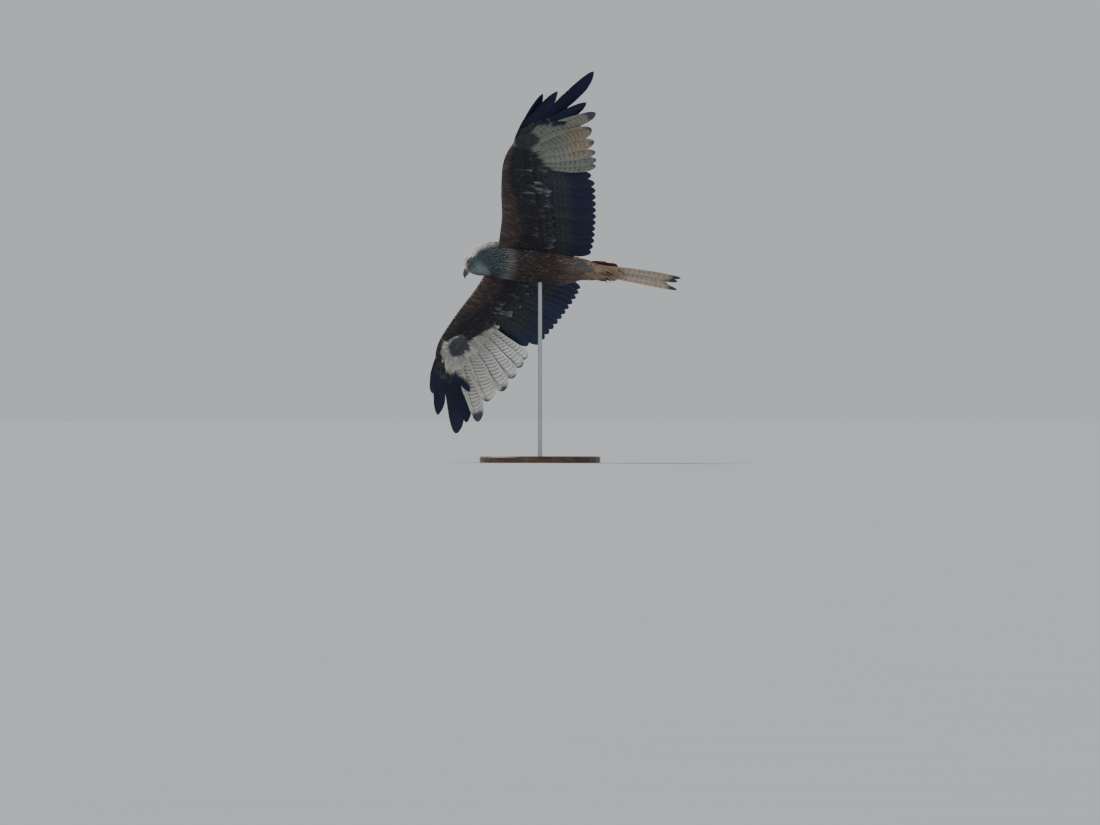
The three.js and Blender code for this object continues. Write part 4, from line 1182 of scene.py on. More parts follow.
# The window's colours differ by wing: painted whiter on the right wing as painted light, greyer on the left
# as painted shade.
WINDOW_SHADED_LEFT_LIT_RIGHT = {"left": paint(118, 123, 114), "right": paint(178, 175, 166)}
WINDOW_PALE_SHADED_LEFT_LIT_RIGHT = {"left": paint(152, 154, 144), "right": paint(252, 251, 248)}
WINDOW_BUFF = paint(156, 136, 112)

# Each wing's window on the wing's plane: its edge towards the tip and its edge towards the wrist, as x, y
WINDOW_OUTER = {
    "left": [(18, 654), (61, 613), (76, 568), (118, 624), (153, 548), (189, 504)],
    "right": [(19, 725), (72, 640), (84, 552), (115, 552), (151, 525), (183, 457), (190, 410)],
}
WINDOW_INNER = {
    "left": [(-40, 451), (42, 434), (86, 434), (137, 478), (190, 486)],
    "right": [(-57, 417), (-29, 373), (43, 309), (61, 298), (91, 344), (115, 378), (158, 360), (179, 390)],
}
WINDOW_FRONT = 189
# The dark patch: its middle, and how far it reaches fore and aft and along the wing
WRIST_PATCH = {"left": (154, 512, 33, 38), "right": (140, 412, 33, 47)}


def under_marks(side, x, y):
    """How far a place lies in the pale window, and how far in the wrist's dark round patch."""
    ragged = 6 * ripple(x / 8, y / 8, 64)
    outer = np.interp(x, *zip(*WINDOW_OUTER[side]))
    inner = np.interp(x, *zip(*WINDOW_INNER[side]))
    pale = rise(y + ragged - inner, -5, 6) * rise(outer - y + ragged, -5, 6)
    pale = pale * rise(WINDOW_FRONT - x, -2, 4)
    middle_x, middle_y, reach_x, reach_y = WRIST_PATCH[side]
    apart = np.hypot((x - middle_x) / reach_x, (y - middle_y) / reach_y)
    return pale, rise(1 - apart + 0.02 * ragged, -0.12, 0.1)


print("under the wrist the patch is", under_marks("left", *WRIST_PATCH["left"][:2])[1].round(2), "full")

# %% [markdown]
# The lesser coverts are the small soft feathers over the front of the wing, above and below. On the real
# bird there is no border between them, only a slow change across and along the wing. A picture laid on
# the wing could show that too, but one function of the place serves each feather and the skin under it.


# %% Lesser coverts
def lesser_look(side, over):
    """Colours by the distance behind the front edge, along the wing, and by the window and the patch."""
    coat = wings[side]["over" if over else "under"]

    def given(p, q, luck=0.5):
        p, q, luck = np.broadcast_arrays(p, q, luck)
        spot = coat.at(p, q) * wings[side]["mirror"]
        x, y = spot[..., 0], spot[..., 1]
        front = np.interp(y, [row[0] for row in WING_FLESH], [row[1] for row in WING_FLESH])
        behind = front - x + 7 * ripple(x / 22, y / 30, 41)
        light = chance_light(luck, 0.6)
        # A painted highlight: a pale rim along the right wing's front edge only.
        rim = 0.4 * rise(-p, -0.10, -0.02) * (side == "right")
        if over:
            band = 0.85 * rise(behind, 60, 82)
            pair = both((OVER_LESSER, OVER_LESSER_EDGE), (OVER_MEDIAN, OVER_MEDIAN_EDGE), band)
            edge, streak, line = 0.7, OVER_GREATER, 0.6
        else:
            reach = np.interp(y, [60, 170, 320, 430], [42, 56, 26, 12])
            dark = rise(behind, reach - 8, reach + 10)
            pale, blob = under_marks(side, x, y)
            black = rise(y, 190, 270) * (0.5 + 0.5 * dark) if side == "right" else 0 * y
            rufous = (1 - dark) * (1 - black)
            ginger = rise(luck, 0.86, 0.94) * rufous
            white = rise(luck, 0.90, 0.95) * (1 - rufous)
            warm = blend(UNDER_LESSER, UNDER_LESSER_EDGE, 0.25 * ginger)
            pair = both((UNDER_MEDIAN, UNDER_MEDIAN_TIP * 0.5), (warm, UNDER_LESSER_EDGE), rufous)
            pair = both(pair, (WINDOW_SHADED_LEFT_LIT_RIGHT[side], WINDOW_PALE_SHADED_LEFT_LIT_RIGHT[side]), pale)
            pair = both(pair, (CARPAL_SHADED_LEFT_LIT_RIGHT[side], CARPAL_EDGE), blob)
            edge = np.clip(0.25 + 0.25 * rufous + 0.6 * white + 0.3 * ginger, 0, 1)
            streak, line = DARK_STREAK, 0.5 - 0.4 * pale
        tint, fringe = (colour * light for colour in both(pair, (RIM_PAINTED_HIGHLIGHT, RIM_PAINTED_HIGHLIGHT), rim))
        return look(tint, fringe, edge, streak, line)

    return given


lesser = {}
for side in wings:
    vanes = lesser[side] = Vanes(f"lesser_coverts_{side}")
    for k, over in enumerate((True, False)):
        coat = wings[side]["over" if over else "under"]
        p, q = tiers(coat, (0.0, 0.80), (0.0, 0.985), 6.2, 6.8, 51 + k)
        size = np.interp(p, [0, 0.25, 0.8], [9, 17, 24]) * np.interp(q, [0, 0.8, 1], [1, 0.9, 0.6])
        width = size * np.interp(p, [0, 0.12, 0.3], [1.3, 0.9, 0.62])
        # The right arm's front edge is fluffed up in the wind of the turn
        puff = 3.2 * np.exp(-(((q - 0.38) / 0.24) ** 2)) * rise(-p, -0.3, -0.1) * (side == "right")
        heights = (puff * 0.8 - 0.5, puff + np.interp(p, [0, 0.08, 0.2], [0.8, 1.8, 2.6]))
        lay(
            vanes, coat, p, q, size, width, heights, lesser_look(side, over), 53 + k,
            rows=6, columns=5, start=0.45, thick=0.25, cell=(0.5 * k, 0, 0.5, 1),
            dome=np.interp(p, [0, 0.2], [0.03, 0.09])[:, None, None],
        )
    print("lesser coverts,", side, "wing:", vanes.count)

# %% [markdown]
# Flight feathers are single vanes with a raised shaft. Barbs leave the shaft at a slant, so the mesh's own
# rows slant too. A primary from the sixth outwards narrows past its notch, which makes the fingers. Each
# feather's outer vane lies over the inner vane of its neighbour, so each is tilted a little. Flat strips
# with cut-out pictures of feathers would look the same from afar, but thin to nothing from the side.

# %% Flight feather form
# Places across a vane, close together at the shaft, and how much of the shaft's height each one has
VANE_ACROSS = np.array([-1, -0.86, -0.7, -0.52, -0.34, -0.17, -0.05, 0.05, 0.2, 0.42, 0.66, 0.85, 1.0])
SHAFT_AT = np.array([0, 0, 0, 0, 0, 0.25, 1, 1, 0.2, 0, 0, 0, 0])
FLIGHT_ROWS = 84
SWEEP = 0.5
FINGER_SHARE = 0.8
SPLIT_WIDTH = 2.2


def tip_round(u):
    """How far the end has drawn back at u across: 1 - sqrt(1 - u^2), stopped just short of the corner."""
    return 1 - np.sqrt(1 - 0.985 * u**2)


def two_faces(points, half):
    """Upper and lower face: the points raised and lowered by half a thickness."""
    lift = np.zeros(points.shape)
    lift[..., 2] = half
    return points + lift, points - lift


def on_sheet(
    run, i, mirror, t_span, widths, heights, columns, rows, notch=None, step=1.0, splits=(),
    blunt=1.25, narrow=0.5, foot=0.12, layer=LAYER, nudge=0.0, wave=0.0, cup=0.6, half=0.16, shaft=0.75,
):
    """Vanes along a run. widths are (outer, inner) in mm and heights (foot, tip) over the sheet.

    Place along: t = from + (to - from) r, shortened towards the edges by the rounding of the tip, and
    carried towards the tip by the sweep of the barbs. Place across: |u| times the width on that side.
    Level: the tilt times the place across, plus the height, less a hollow by the square of the place.
    """
    n = len(i)
    r = np.linspace(0, 1, rows)[None, :, None]
    u = columns[None, None, :]
    i = i[:, None, None]
    low, high, outer, inner, start, tip = (
        np.broadcast_to(np.asarray(x, float), n)[:, None, None] for x in (*t_span, *widths, *heights)
    )
    blunt, narrow, nudge = (np.reshape(x, (-1, 1, 1)) for x in (blunt, narrow, nudge))
    notch = np.full((n, 1, 1), 2.0) if notch is None else notch[:, None, None]
    length = run.length(i)
    wide = np.where(u < 0, inner, outer)
    s = r * (1 - blunt * wide / (length * (high - low)) * tip_round(u))
    t = low + (high - low) * s
    finger = 1 - (1 - FINGER_SHARE) * rise(t, notch - 0.08, notch + 0.08)
    space, slope = run.spread(i + 0 * t, np.maximum(t, 0))
    room = np.minimum(1, OVERLAP * space * step / (outer + inner))
    taper = np.sqrt(np.clip(1 - narrow * np.clip((s - 0.74) / 0.26, 0, 1) ** 2, 0, 1))
    across = u * wide * room * finger * taper * (0.35 + 0.65 * rise(s, 0, foot))
    for split in splits:
        place, depth, which = (x[:, None, None] for x in split)
        gap = np.exp(-(((s - place) * length / SPLIT_WIDTH) ** 2)) * (np.sign(u) == which)
        across = across * (1 - depth * gap)
    swept = t + SWEEP * np.abs(across) / length * (1 - r**3)
    calm = np.where(notch < 1, 1 - rise(t, 0.45, 0.7), 1)
    tilt = slope * calm + layer / np.maximum(space * step, 5)
    aside = run.sideways(i + 0 * t, t) * (across + nudge * s**2)[..., None]
    points = run.at(i + 0 * swept, swept) + aside
    hollow = cup * (across / 20) ** 2
    points[..., 2] += tilt * across + start + (tip - start) * s - hollow + wave * np.sin(9 * s + 7 * i)
    ridge = np.interp(columns, VANE_ACROSS, SHAFT_AT)[None, None, :]
    upper, lower = two_faces(points, half + shaft * ridge * (1 - s) ** 0.7)
    return upper * mirror, lower * mirror, t, across, r + 0 * u, length


def strip(number, of, u, v):
    """A strip of the atlas for one long vane: its own column, its length upwards."""
    column = (number + 0.08 + 0.84 * (u + 1) / 2) / of
    return np.stack(np.broadcast_arrays(column, 0.01 + 0.98 * v), -1)


print("a flight feather has", len(VANE_ACROSS), "places across and", FLIGHT_ROWS, "rows")

# %% [markdown]
# The pale window of the outer wing covers the bases of the primaries. On the left wing it ends in a curved
# line through the fingers. It is grey-buff with fine bars, and warmer outside. On the right wing the black
# reaches further in, and its white has thin dark bars and bright squares between them. The right wing's
# window is painted whiter than the left's as painted light, and the left's greyer as painted shade. The
# secondaries are grey-green at their bases with faint bars, and blue-black behind, painted lighter and
# bluer on the right wing as painted light.

# %% Flight feather markings
FINGER, FINGER_SHEEN = paint(13, 18, 36), paint(17, 32, 68)
TIP_GREY = paint(80, 84, 92)
SECONDARY_BASE, SECONDARY_EDGE = paint(50, 57, 63), paint(80, 76, 88)
# Behind, the secondaries are painted lighter and bluer on the right wing: painted light there, painted shade
# on the left.
SECONDARY_BACK_SHADED_LEFT_LIT_RIGHT = {"left": paint(28, 35, 60), "right": paint(38, 47, 74)}
OVER_PRIMARY, OVER_SECONDARY = paint(44, 38, 35), paint(60, 48, 42)
OVER_END, OVER_TIP = paint(30, 28, 29), paint(150, 130, 108)
# Where the window starts and ends on each primary, from the first by the wrist to the tenth, as a share
WINDOW_FROM = {
    "left": [0.42, 0.34, 0.28, 0.24, 0.22, 0.2, 0.16, 0.12, 0.08, 0.05],
    "right": [0.24, 0.2, 0.16, 0.12, 0.05, -0.1, -0.1, -0.1, -0.1, -0.1],
}
WINDOW_TO = {
    "left": [0.97, 0.97, 0.96, 0.96, 0.95, 0.89, 0.54, 0.34, 0.27, 0.16],
    "right": [0.96, 0.96, 0.96, 0.95, 0.93, 0.9, 0.46, 0.27, 0.15, -0.05],
}
BAR_STRENGTH = {"left": 0.45, "right": 0.75}


def primary_look(side, i, t, across, luck):
    """Window from one share of each feather to another, with an edge that wanders by a few millimetres."""
    which = np.clip(i, 0, 9)
    start = np.interp(which, range(10), WINDOW_FROM[side])
    end = np.interp(which, range(10), WINDOW_TO[side])
    place = t + 0.03 * ripple(t * 14, across / 7 + i * 3, 61)
    inside = rise(place, start - 0.05, start + 0.05) * rise(-place, -end - 0.035, -end + 0.035)
    inside = inside * (1 - 0.35 * rise(across / 10, 0.2, 0.8) * (which > 5.5))
    pale_marks_and_painted_light = rise(0.2 - across / 20, 0.05, 0.7) * rise(t, 0.25, 0.65)
    pale_marks_and_painted_light = pale_marks_and_painted_light * np.exp(-(((which - 1.6) / 2.4) ** 2)) + 0.3 * rise(t, 0.5, 0.9)
    # Halved on the left wing: the extra white in the right wing's window is painted light, the lack of it on
    # the left painted shade.
    pale_marks_and_painted_light = np.clip(pale_marks_and_painted_light, 0, 1) * (1.0 if side == "right" else 0.5)
    pale = blend(WINDOW_SHADED_LEFT_LIT_RIGHT[side], WINDOW_PALE_SHADED_LEFT_LIT_RIGHT[side], pale_marks_and_painted_light)
    warm = rise(t, 0.45, 0.8) * np.exp(-(((which - 3.2) / 1.6) ** 2)) * (0.8 if side == "left" else 0.25)
    pale = blend(pale, WINDOW_BUFF, warm)
    dark = blend(FINGER, FINGER_SHEEN, 0.5 + 0.5 * ripple(t * 9, across / 9 + i, 62))
    inner_dark = blend(SECONDARY_BASE, dark, rise(t, 0.5, 0.9))
    dark = blend(inner_dark, dark, rise(which, 1, 3))
    dark = blend(dark, TIP_GREY, 0.7 * rise(5.6 - which, 0, 0.3) * rise(t, 0.7, 0.8))
    tint = blend(dark, pale, inside) * chance_light(luck, 0.2)
    fringe = blend(tint * 1.4, WINDOW_PALE_SHADED_LEFT_LIT_RIGHT[side], 0.35 * inside)
    bars = 0.3 + 0.7 * rise(-across / 10, 0, 0.3)
    bars = BAR_STRENGTH[side] * inside * bars * (0.35 + 0.65 * rise(t, 0.3, 0.5))
    return look(tint, fringe, 0.35, DARK_STREAK, 0.5, bars, 1.0)


def secondary_look(side, i, t, across, luck):
    """Grey-green and barred at the base, blue-black behind, with a ragged border."""
    back = rise(t + 0.03 * ripple(t * 9, across / 8 + i, 63), 0.56, 0.74)
    tint = blend(SECONDARY_BASE, SECONDARY_BACK_SHADED_LEFT_LIT_RIGHT[side], back) * chance_light(luck, 0.3)
    fringe = blend(tint * 1.5, SECONDARY_EDGE, 0.3 + 0 * t)
    return look(tint, fringe, 0.22, DARK_STREAK, 0.5, 0.45 * (1 - back), 1.0)


def over_flight_look(t, luck, ground):
    """The upper side: one ground, darker towards the end, with a pale tip."""
    tint = blend(ground, OVER_END, rise(t, 0.5, 0.95)) * chance_light(luck, 0.25)
    fringe = blend(tint * 1.6, OVER_TIP, 0.5 * rise(t, 0.94, 1.0))
    return look(tint, fringe, 0.45, DARK_STREAK, 0.4, 0.35, 1.0)


def with_length(given, length):
    """The form's second value is the feather's length in metres, which sets the spacing of the bars."""
    form = given["form"].copy()
    form[..., 1] = np.broadcast_to(length, form.shape[:-1]) * MM
    return given | {"form": form}


print("the window of the tenth primary ends at", [WINDOW_TO[side][9] for side in wings])


# %% [markdown]
# Ten primaries stand on the hand and the secondaries on the arm, with two more vanes that fill the gaps
# at the wrist and at the body. The tips of the inner primaries are broad and blunt, and each finger leans
# a little out of line. Here and there the barbs part, as on any feather in use.

# %% Flight feathers of the wings
# For the ten primaries: how blunt and how narrow each tip is, how far it leans out in mm, where it ends
BLUNT = [1.0, 1.0, 1.0, 1.0, 1.0, 1.3, 1.8, 1.9, 2.3, 2.3]
NARROW = [0.55, 0.55, 0.55, 0.55, 0.55, 0.6, 0.78, 0.72, 0.86, 0.86]
LEAN = {"left": [0, 0, 0, 0, 0, -10, -13, -19, -10, -18], "right": [0, 0, 0, 0, 4, 8, 0, 0, -1, -12]}
PRIMARY_END = {"left": [1.0] * 10, "right": [1, 1, 1, 1, 0.96, 1, 1, 1, 1, 0.985]}
SECONDARY_END = {
    "left": [0.8] + [0.99] * 12 + [0.96, 0.7],
    "right": [0.8] + [1.02] * 12 + [0.92, 0.6],
}
SECONDARY_WIDTHS = (16, 29)
FEATHER_ROOT = -0.04
flight = {}
for side in wings:
    wing = wings[side]
    vanes = flight[side] = Vanes(f"flight_feathers_{side}")
    draw = np.random.default_rng(71 if side == "left" else 72)
    strips = 2 * (wing["primaries"].count + wing["secondaries"].count + 2)
    number = 0
    for kind in ("primaries", "secondaries"):
        run = wing[kind]
        hand = kind == "primaries"
        i = np.arange(run.count, dtype=float)
        if hand:
            widths, ends = (PRIMARY_OUTER, PRIMARY_INNER), PRIMARY_END[side]
            form = {"notch": PRIMARY_NOTCH, "blunt": BLUNT, "narrow": NARROW, "nudge": LEAN[side]}
        else:
            i = np.concatenate([[-0.8], i, [run.count - 0.45]])
            widths, ends = SECONDARY_WIDTHS, SECONDARY_END[side]
            form = {"blunt": 1.2, "layer": 0.9, "cup": 0.15}
        many = len(i)
        splits = []
        for _ in range(3 if hand else 0):
            place, depth = draw.uniform(0.72, 0.95, many), draw.uniform(0.08, 0.3, many)
            splits.append((place, depth, draw.choice([-1.0, 1.0], many, p=[0.7, 0.3])))
        upper, lower, t, across, r, length = on_sheet(
            run, i, wing["mirror"], (FEATHER_ROOT, ends), widths, (0, 0),
            VANE_ACROSS, FLIGHT_ROWS, splits=splits, wave=0.25, **form,
        )
        luck = draw.uniform(0, 1, (many, 1, 1)) + 0 * t
        each = i[:, None, None] + 0 * t
        below = (primary_look if hand else secondary_look)(side, each, t, across, luck)
        above = over_flight_look(t, luck, OVER_PRIMARY if hand else OVER_SECONDARY)
        u = VANE_ACROSS[None, None, :] + 0 * t
        place = number + 2 * np.arange(many)[:, None, None]
        below = with_length(below, length) | {"bake": strip(place, strips, u, r)}
        above = with_length(above, length) | {"bake": strip(place + 1, strips, u, r)}
        number += 2 * many
        vanes.add(upper, lower, (u + 1) / 2, r, above, below)
    print("flight feathers,", side, "wing:", vanes.count)

# %% [markdown]
# The longer coverts lie on the flight feathers themselves, above and below, in rows: the greater coverts
# cover nearly half of each secondary, and the median coverts lie over their feet. Each row starts inside
# the flesh, so no foot shows.


# %% Greater and median coverts
COVERT_ACROSS = np.array([-1, -0.7, -0.38, -0.1, 0, 0.12, 0.42, 0.74, 1.0])
# run, side of the sheet, reach at the run's ends, mm ahead of the roots, heights, half widths, step
COVERT_ROWS = [
    ("secondaries", -1, (0.46, 0.39), 24, (3.0, 4.2), (12, 16), 0.62),
    ("secondaries", -1, (0.36, 0.30), 30, (4.2, 5.6), (10, 13), 0.5),
    ("secondaries", -1, (0.25, 0.20), 34, (5.6, 7.2), (9, 11), 0.42),
    ("secondaries", 1, (0.47, 0.40), 24, (3.0, 4.2), (12, 16), 0.62),
    ("secondaries", 1, (0.34, 0.28), 30, (4.2, 5.6), (10, 13), 0.5),
    ("secondaries", 1, (0.22, 0.18), 34, (5.6, 7.2), (9, 11), 0.42),
    ("primaries", -1, (0.36, 0.42), 16, (2.2, 3.0), (9, 13), 0.5),
    ("primaries", -1, (0.24, 0.27), 20, (3.2, 4.2), (8, 10), 0.42),
    ("primaries", -1, (0.12, 0.14), 24, (4.0, 5.2), (7, 9), 0.36),
    ("primaries", 1, (0.36, 0.26), 16, (2.2, 3.0), (9, 13), 0.6),
    ("primaries", 1, (0.22, 0.15), 20, (3.2, 4.2), (8, 10), 0.5),
    ("primaries", 1, (0.11, 0.08), 24, (4.0, 5.2), (7, 9), 0.42),
]


def covert_look(side, run, hand, row, below, i, t, u, r, luck):
    """Each row has its own ground and tip. Under the hand lie the window and the wrist's dark patch."""
    light = chance_light(luck, 0.5)
    spot = run.at(i, t)
    x, y = spot[..., 0], spot[..., 1]
    if not below:
        row = 0 if hand else row
        ground = [OVER_GREATER, OVER_MEDIAN, OVER_LESSER][row]
        edge_colour = [OVER_GREATER_EDGE, OVER_MEDIAN_EDGE, OVER_LESSER_EDGE][row]
        return look(ground * light, edge_colour * light, 0.75, DARK_STREAK, 0.4, 0.0, 1.0)
    ground = [UNDER_GREATER, UNDER_MEDIAN, UNDER_MEDIAN][row] * light
    edge_colour = [UNDER_GREATER_TIP, UNDER_MEDIAN_TIP, UNDER_MEDIAN_TIP * 0.8][row] * light
    pale, blob = under_marks(side, x, y)
    clump = rise(ripple(x / 24, y / 16, 65), -0.1, 0.7)
    white = rise(luck + 0.25 * clump, 0.80, 1.0) * (1 - pale) * (0.35 + 0.65 * clump) * (0.1 if hand else 1.0)
    ground = blend(blend(ground, WINDOW_SHADED_LEFT_LIT_RIGHT[side] * light, pale), CARPAL_SHADED_LEFT_LIT_RIGHT[side], blob)
    edge_colour = blend(blend(edge_colour, WINDOW_PALE_SHADED_LEFT_LIT_RIGHT[side], pale), CARPAL_EDGE, blob)
    ragged = r + 0.12 * ripple(x / 3, y / 3, 66) + 0.18 * ripple(7.3 * i, row + 0 * i, 67)
    one_side = rise(u * np.sign(ripple(5.1 * i, row + 0 * i, 68)), -0.6, 0.2)
    ground = blend(ground, edge_colour, 0.8 * white * one_side * rise(ragged, 0.5, 0.9))
    edge = 0.10 + 0.15 * white + 0.1 * pale
    return look(ground, edge_colour, edge, DARK_STREAK, 0.5 * (1 - pale) + 0.15, 0.25 * pale, 1.0)


coverts = {}
for side in wings:
    vanes = coverts[side] = Vanes(f"coverts_{side}")
    for number, (kind, face, reach, ahead, heights, halves, step) in enumerate(COVERT_ROWS):
        run = wings[side][kind]
        hand = kind == "primaries"
        draw = np.random.default_rng(81 + number)
        i = np.arange(-0.5 if hand else -0.2, run.count - (1.0 if hand else 0.4), step)
        i = i + draw.normal(0, 0.05, len(i))
        length = run.length(i)
        to = np.interp(i, [0, run.count - 1], reach) * draw.uniform(0.94, 1.06, len(i))
        upper, lower, t, across, r, length = on_sheet(
            run, i, wings[side]["mirror"], (-ahead / length, to), halves, [face * h for h in heights],
            COVERT_ACROSS, 14, step=step, layer=0.9 * face, half=0.14, shaft=0.25, cup=0.22 * face, foot=0.3,
        )
        luck = draw.uniform(0, 1, (len(i), 1, 1)) + 0 * t
        u = COVERT_ACROSS[None, None, :] + 0 * t
        i = i[:, None, None] + 0 * t
        looks = covert_look(side, run, hand, number % 3, face < 0, i, t, u, r, luck)
        looks = with_length(looks, length * (to[:, None, None] + 0.1))
        column = (number + 0.1 + 0.8 * i / run.count) / len(COVERT_ROWS) + PATCH * u / 2
        spot = np.stack(np.broadcast_arrays(column, 0.1 + 0.8 * r), -1)
        vanes.add(upper, lower, (u + 1) / 2, r, looks | {"bake": np.clip(spot, 0.002, 0.998)})
    print("coverts,", side, "wing:", vanes.count)

# %% [markdown]
# The tail is folded, so its twelve feathers lie in a stack, six a side, with the middle pair on top and
# the outermost lowest. The outer feathers are the longest, which gives the kite its notched tail. One
# feather near the middle reaches nearly as far, and makes the third point that the photograph shows.

# %% Tail
TAIL_ROOT_X, TAIL_ROOT_SPREAD, TAIL_TIP_SPREAD, TAIL_SWAY = -150, 37, 56, 6
TAIL_SHORTEST, TAIL_LONGEST, TAIL_WIDTH, TAIL_Z, TAIL_LAYER, TAIL_DROP = 204, 250, 28, 15.5, 1.05, 15
TAIL_UNDER, TAIL_UNDER_WARM, TAIL_CORNER = paint(194, 184, 174), paint(190, 156, 128), paint(32, 38, 50)
TAIL_OVER, TAIL_OVER_EDGE = paint(156, 94, 56), paint(186, 128, 86)
TAIL_UNDER_STREAK, TAIL_OVER_STREAK = paint(120, 96, 74), paint(70, 42, 28)
TAIL_COUNT, MIDDLE_PRONG = 12, 1

tail = Vanes("tail_feathers")
order = np.arange(TAIL_COUNT)[:, None, None]
sign = np.where(order % 2 == 0, 1.0, -1.0)
share = (order // 2 + 0.5) / (TAIL_COUNT / 2)
r = np.linspace(0, 1, 70)[None, :, None]
u = VANE_ACROSS[None, None, :]
length = TAIL_SHORTEST + (TAIL_LONGEST - TAIL_SHORTEST) * (share / share.max()) ** 2.2
length[MIDDLE_PRONG] = TAIL_LONGEST - 3
outer = rise(share, 0.6, 0.8)
outer[MIDDLE_PRONG] = 1
wide = np.where(u > 0, 0.5 - 0.2 * share, 0.5 + 0.05 * share) * TAIL_WIDTH
s = r * (1 - 0.9 * wide / length * tip_round(u))
taper = 1 - (0.12 + 0.5 * outer) * np.clip((s - 0.76) / 0.24, 0, 1) ** 1.5
across = u * wide * (0.55 + 0.45 * rise(s, 0, 0.5)) * taper
t = s + 0.45 * np.abs(across) / length * (1 - r**3)
x = TAIL_ROOT_X - length * t
spread = share * (TAIL_ROOT_SPREAD + (TAIL_TIP_SPREAD - TAIL_ROOT_SPREAD) * t) / 2
y = sign * (spread + across) + TAIL_SWAY * t
z = TAIL_Z - order * TAIL_LAYER - TAIL_DROP * t**2 - 0.4 * (across / 12) ** 2
points = np.stack([x, y, z], -1)
luck = np.random.default_rng(91).uniform(0, 1, (TAIL_COUNT, 1, 1)) + 0 * t
light = chance_light(luck, 0.2)
corner = rise(t, 0.85, 0.93) * (0.25 + 0.75 * outer)
warm = 0.5 + 0.5 * ripple(t * 6, across / 9 + share * 9, 92)
under = blend(blend(TAIL_UNDER, TAIL_UNDER_WARM, warm), TAIL_CORNER, 0.85 * corner) * light
over = blend(TAIL_OVER, TAIL_CORNER * 0.8, 0.5 * corner) * light
below = look(under, blend(TAIL_UNDER, TAIL_CORNER, corner), 0.4, TAIL_UNDER_STREAK, 0.6, 0.30, 1.0)
above = look(over, TAIL_OVER_EDGE, 0.5, TAIL_OVER_STREAK, 0.6, 0.30, 1.0)
u, r = u + 0 * t, r + 0 * t
below = with_length(below, length) | {"bake": strip(2 * order, 2 * TAIL_COUNT, u, r)}
above = with_length(above, length) | {"bake": strip(2 * order + 1, 2 * TAIL_COUNT, u, r)}
thickness = 0.16 + 0.55 * SHAFT_AT[None, None, :] * (1 - s) ** 0.7
tail.add(*two_faces(points, thickness), (u + 1) / 2, r, above, below)
print("tail", tail.count, "feathers")

# %% [markdown]
# The tail's root is hidden by two rows of coverts above, rufous like the rump, and two below, orange-buff.
# The rows bend down at the sides, so they close round the stub like tiles round a pipe.

# %% Tail coverts
# face, root in x, length, spread, height at the foot and at the tip, width, how many: all in mm
TAIL_COVERT_ROWS = [
    (1, -150, 74, 38, 17.0, 15.6, 20, 9), (1, -136, 56, 42, 18.0, 16.6, 18, 9),
    (-1, -150, 88, 38, -5.4, -3.6, 20, 9), (-1, -138, 68, 42, -9.0, -6.6, 18, 9),
]
TAIL_COVERT_STREAK = paint(84, 54, 38)
tail_coverts = Vanes("tail_coverts")
for number, (face, root_x, reach, spread, foot, tip, width, many) in enumerate(TAIL_COVERT_ROWS):
    draw = np.random.default_rng(95 + number)
    k = np.linspace(-1, 1, many)[:, None, None]
    r = np.linspace(0, 1, 16)[None, :, None]
    u = COVERT_ACROSS[None, None, :]
    long = reach * draw.uniform(0.86, 1.08, (many, 1, 1)) * (1 - 0.12 * k**2)
    across = u * width / 2 * (0.5 + 0.5 * rise(r, 0, 0.4))
    s = r * (1 - 0.55 * width / long * tip_round(u))
    x = root_x - long * s - 0.4 * np.abs(across) * (1 - r**3)
    y = k * spread / 2 * (0.9 + 0.3 * s) + across
    loose = draw.uniform(0, 1, (many, 1, 1))
    z = foot + (tip - foot) * s + face * (0.5 * loose - 3.2 * k**2 - 0.5 * (across / 8) ** 2)
    luck = draw.uniform(0, 1, (many, 1, 1)) + 0 * x
    light = chance_light(luck, 0.35)
    ground, edge_colour = (RUMP, RUMP_EDGE) if face > 0 else (UNDERTAIL, UNDERTAIL_EDGE)
    looks = look(ground * light, edge_colour * light, 0.5, TAIL_COVERT_STREAK, 0.45, 0.15, reach)
    u, r = u + 0 * x, r + 0 * x
    spot = np.stack([(number + 0.1 + 0.4 * (k + 1)) / 4 + PATCH * u / 2, 0.1 + 0.8 * r], -1)
    faces = two_faces(np.stack([x, y, z], -1), 0.15)
    tail_coverts.add(*faces, (u + 1) / 2, r, looks | {"bake": spot})
print("tail coverts:", tail_coverts.count)

# %% [markdown]
# The skin takes the colours of the feathers over it, so nothing odd shows through a gap. Each point of the
# skin looks up the nearest place on the coats and takes the ground colour painted there. Painted by hand,
# it would have to be done again each time a marking moved.


# %% Skin colours
def coat_samples(coat, looks, rows=70, columns=40):
    """Places on a coat in metres, and the ground colour at each."""
    p, q = np.meshgrid(np.linspace(0, 1, rows), np.linspace(0, 1, columns), indexing="ij")
    p, q = p.ravel(), q.ravel()
    return placed(coat.at(p, q)), looks(p, q, luck=0.5)["tint"][..., :3]


samples = [coat_samples(body_coat, body_look), coat_samples(fluff_coat, vent_look)]
for side in wings:
    samples.append(coat_samples(wings[side]["over"], lesser_look(side, True)))
    samples.append(coat_samples(wings[side]["under"], lesser_look(side, False)))
    samples.append(coat_samples(thigh_coats[side], thigh_look))
sample_at = np.concatenate([s[0] for s in samples]).astype(np.float32)
sample_tint = np.concatenate([s[1] for s in samples])
skin_at = np.empty(3 * len(skin.data.vertices), np.float32)
skin.data.vertices.foreach_get("co", skin_at)
skin_at = skin_at.reshape(-1, 3)
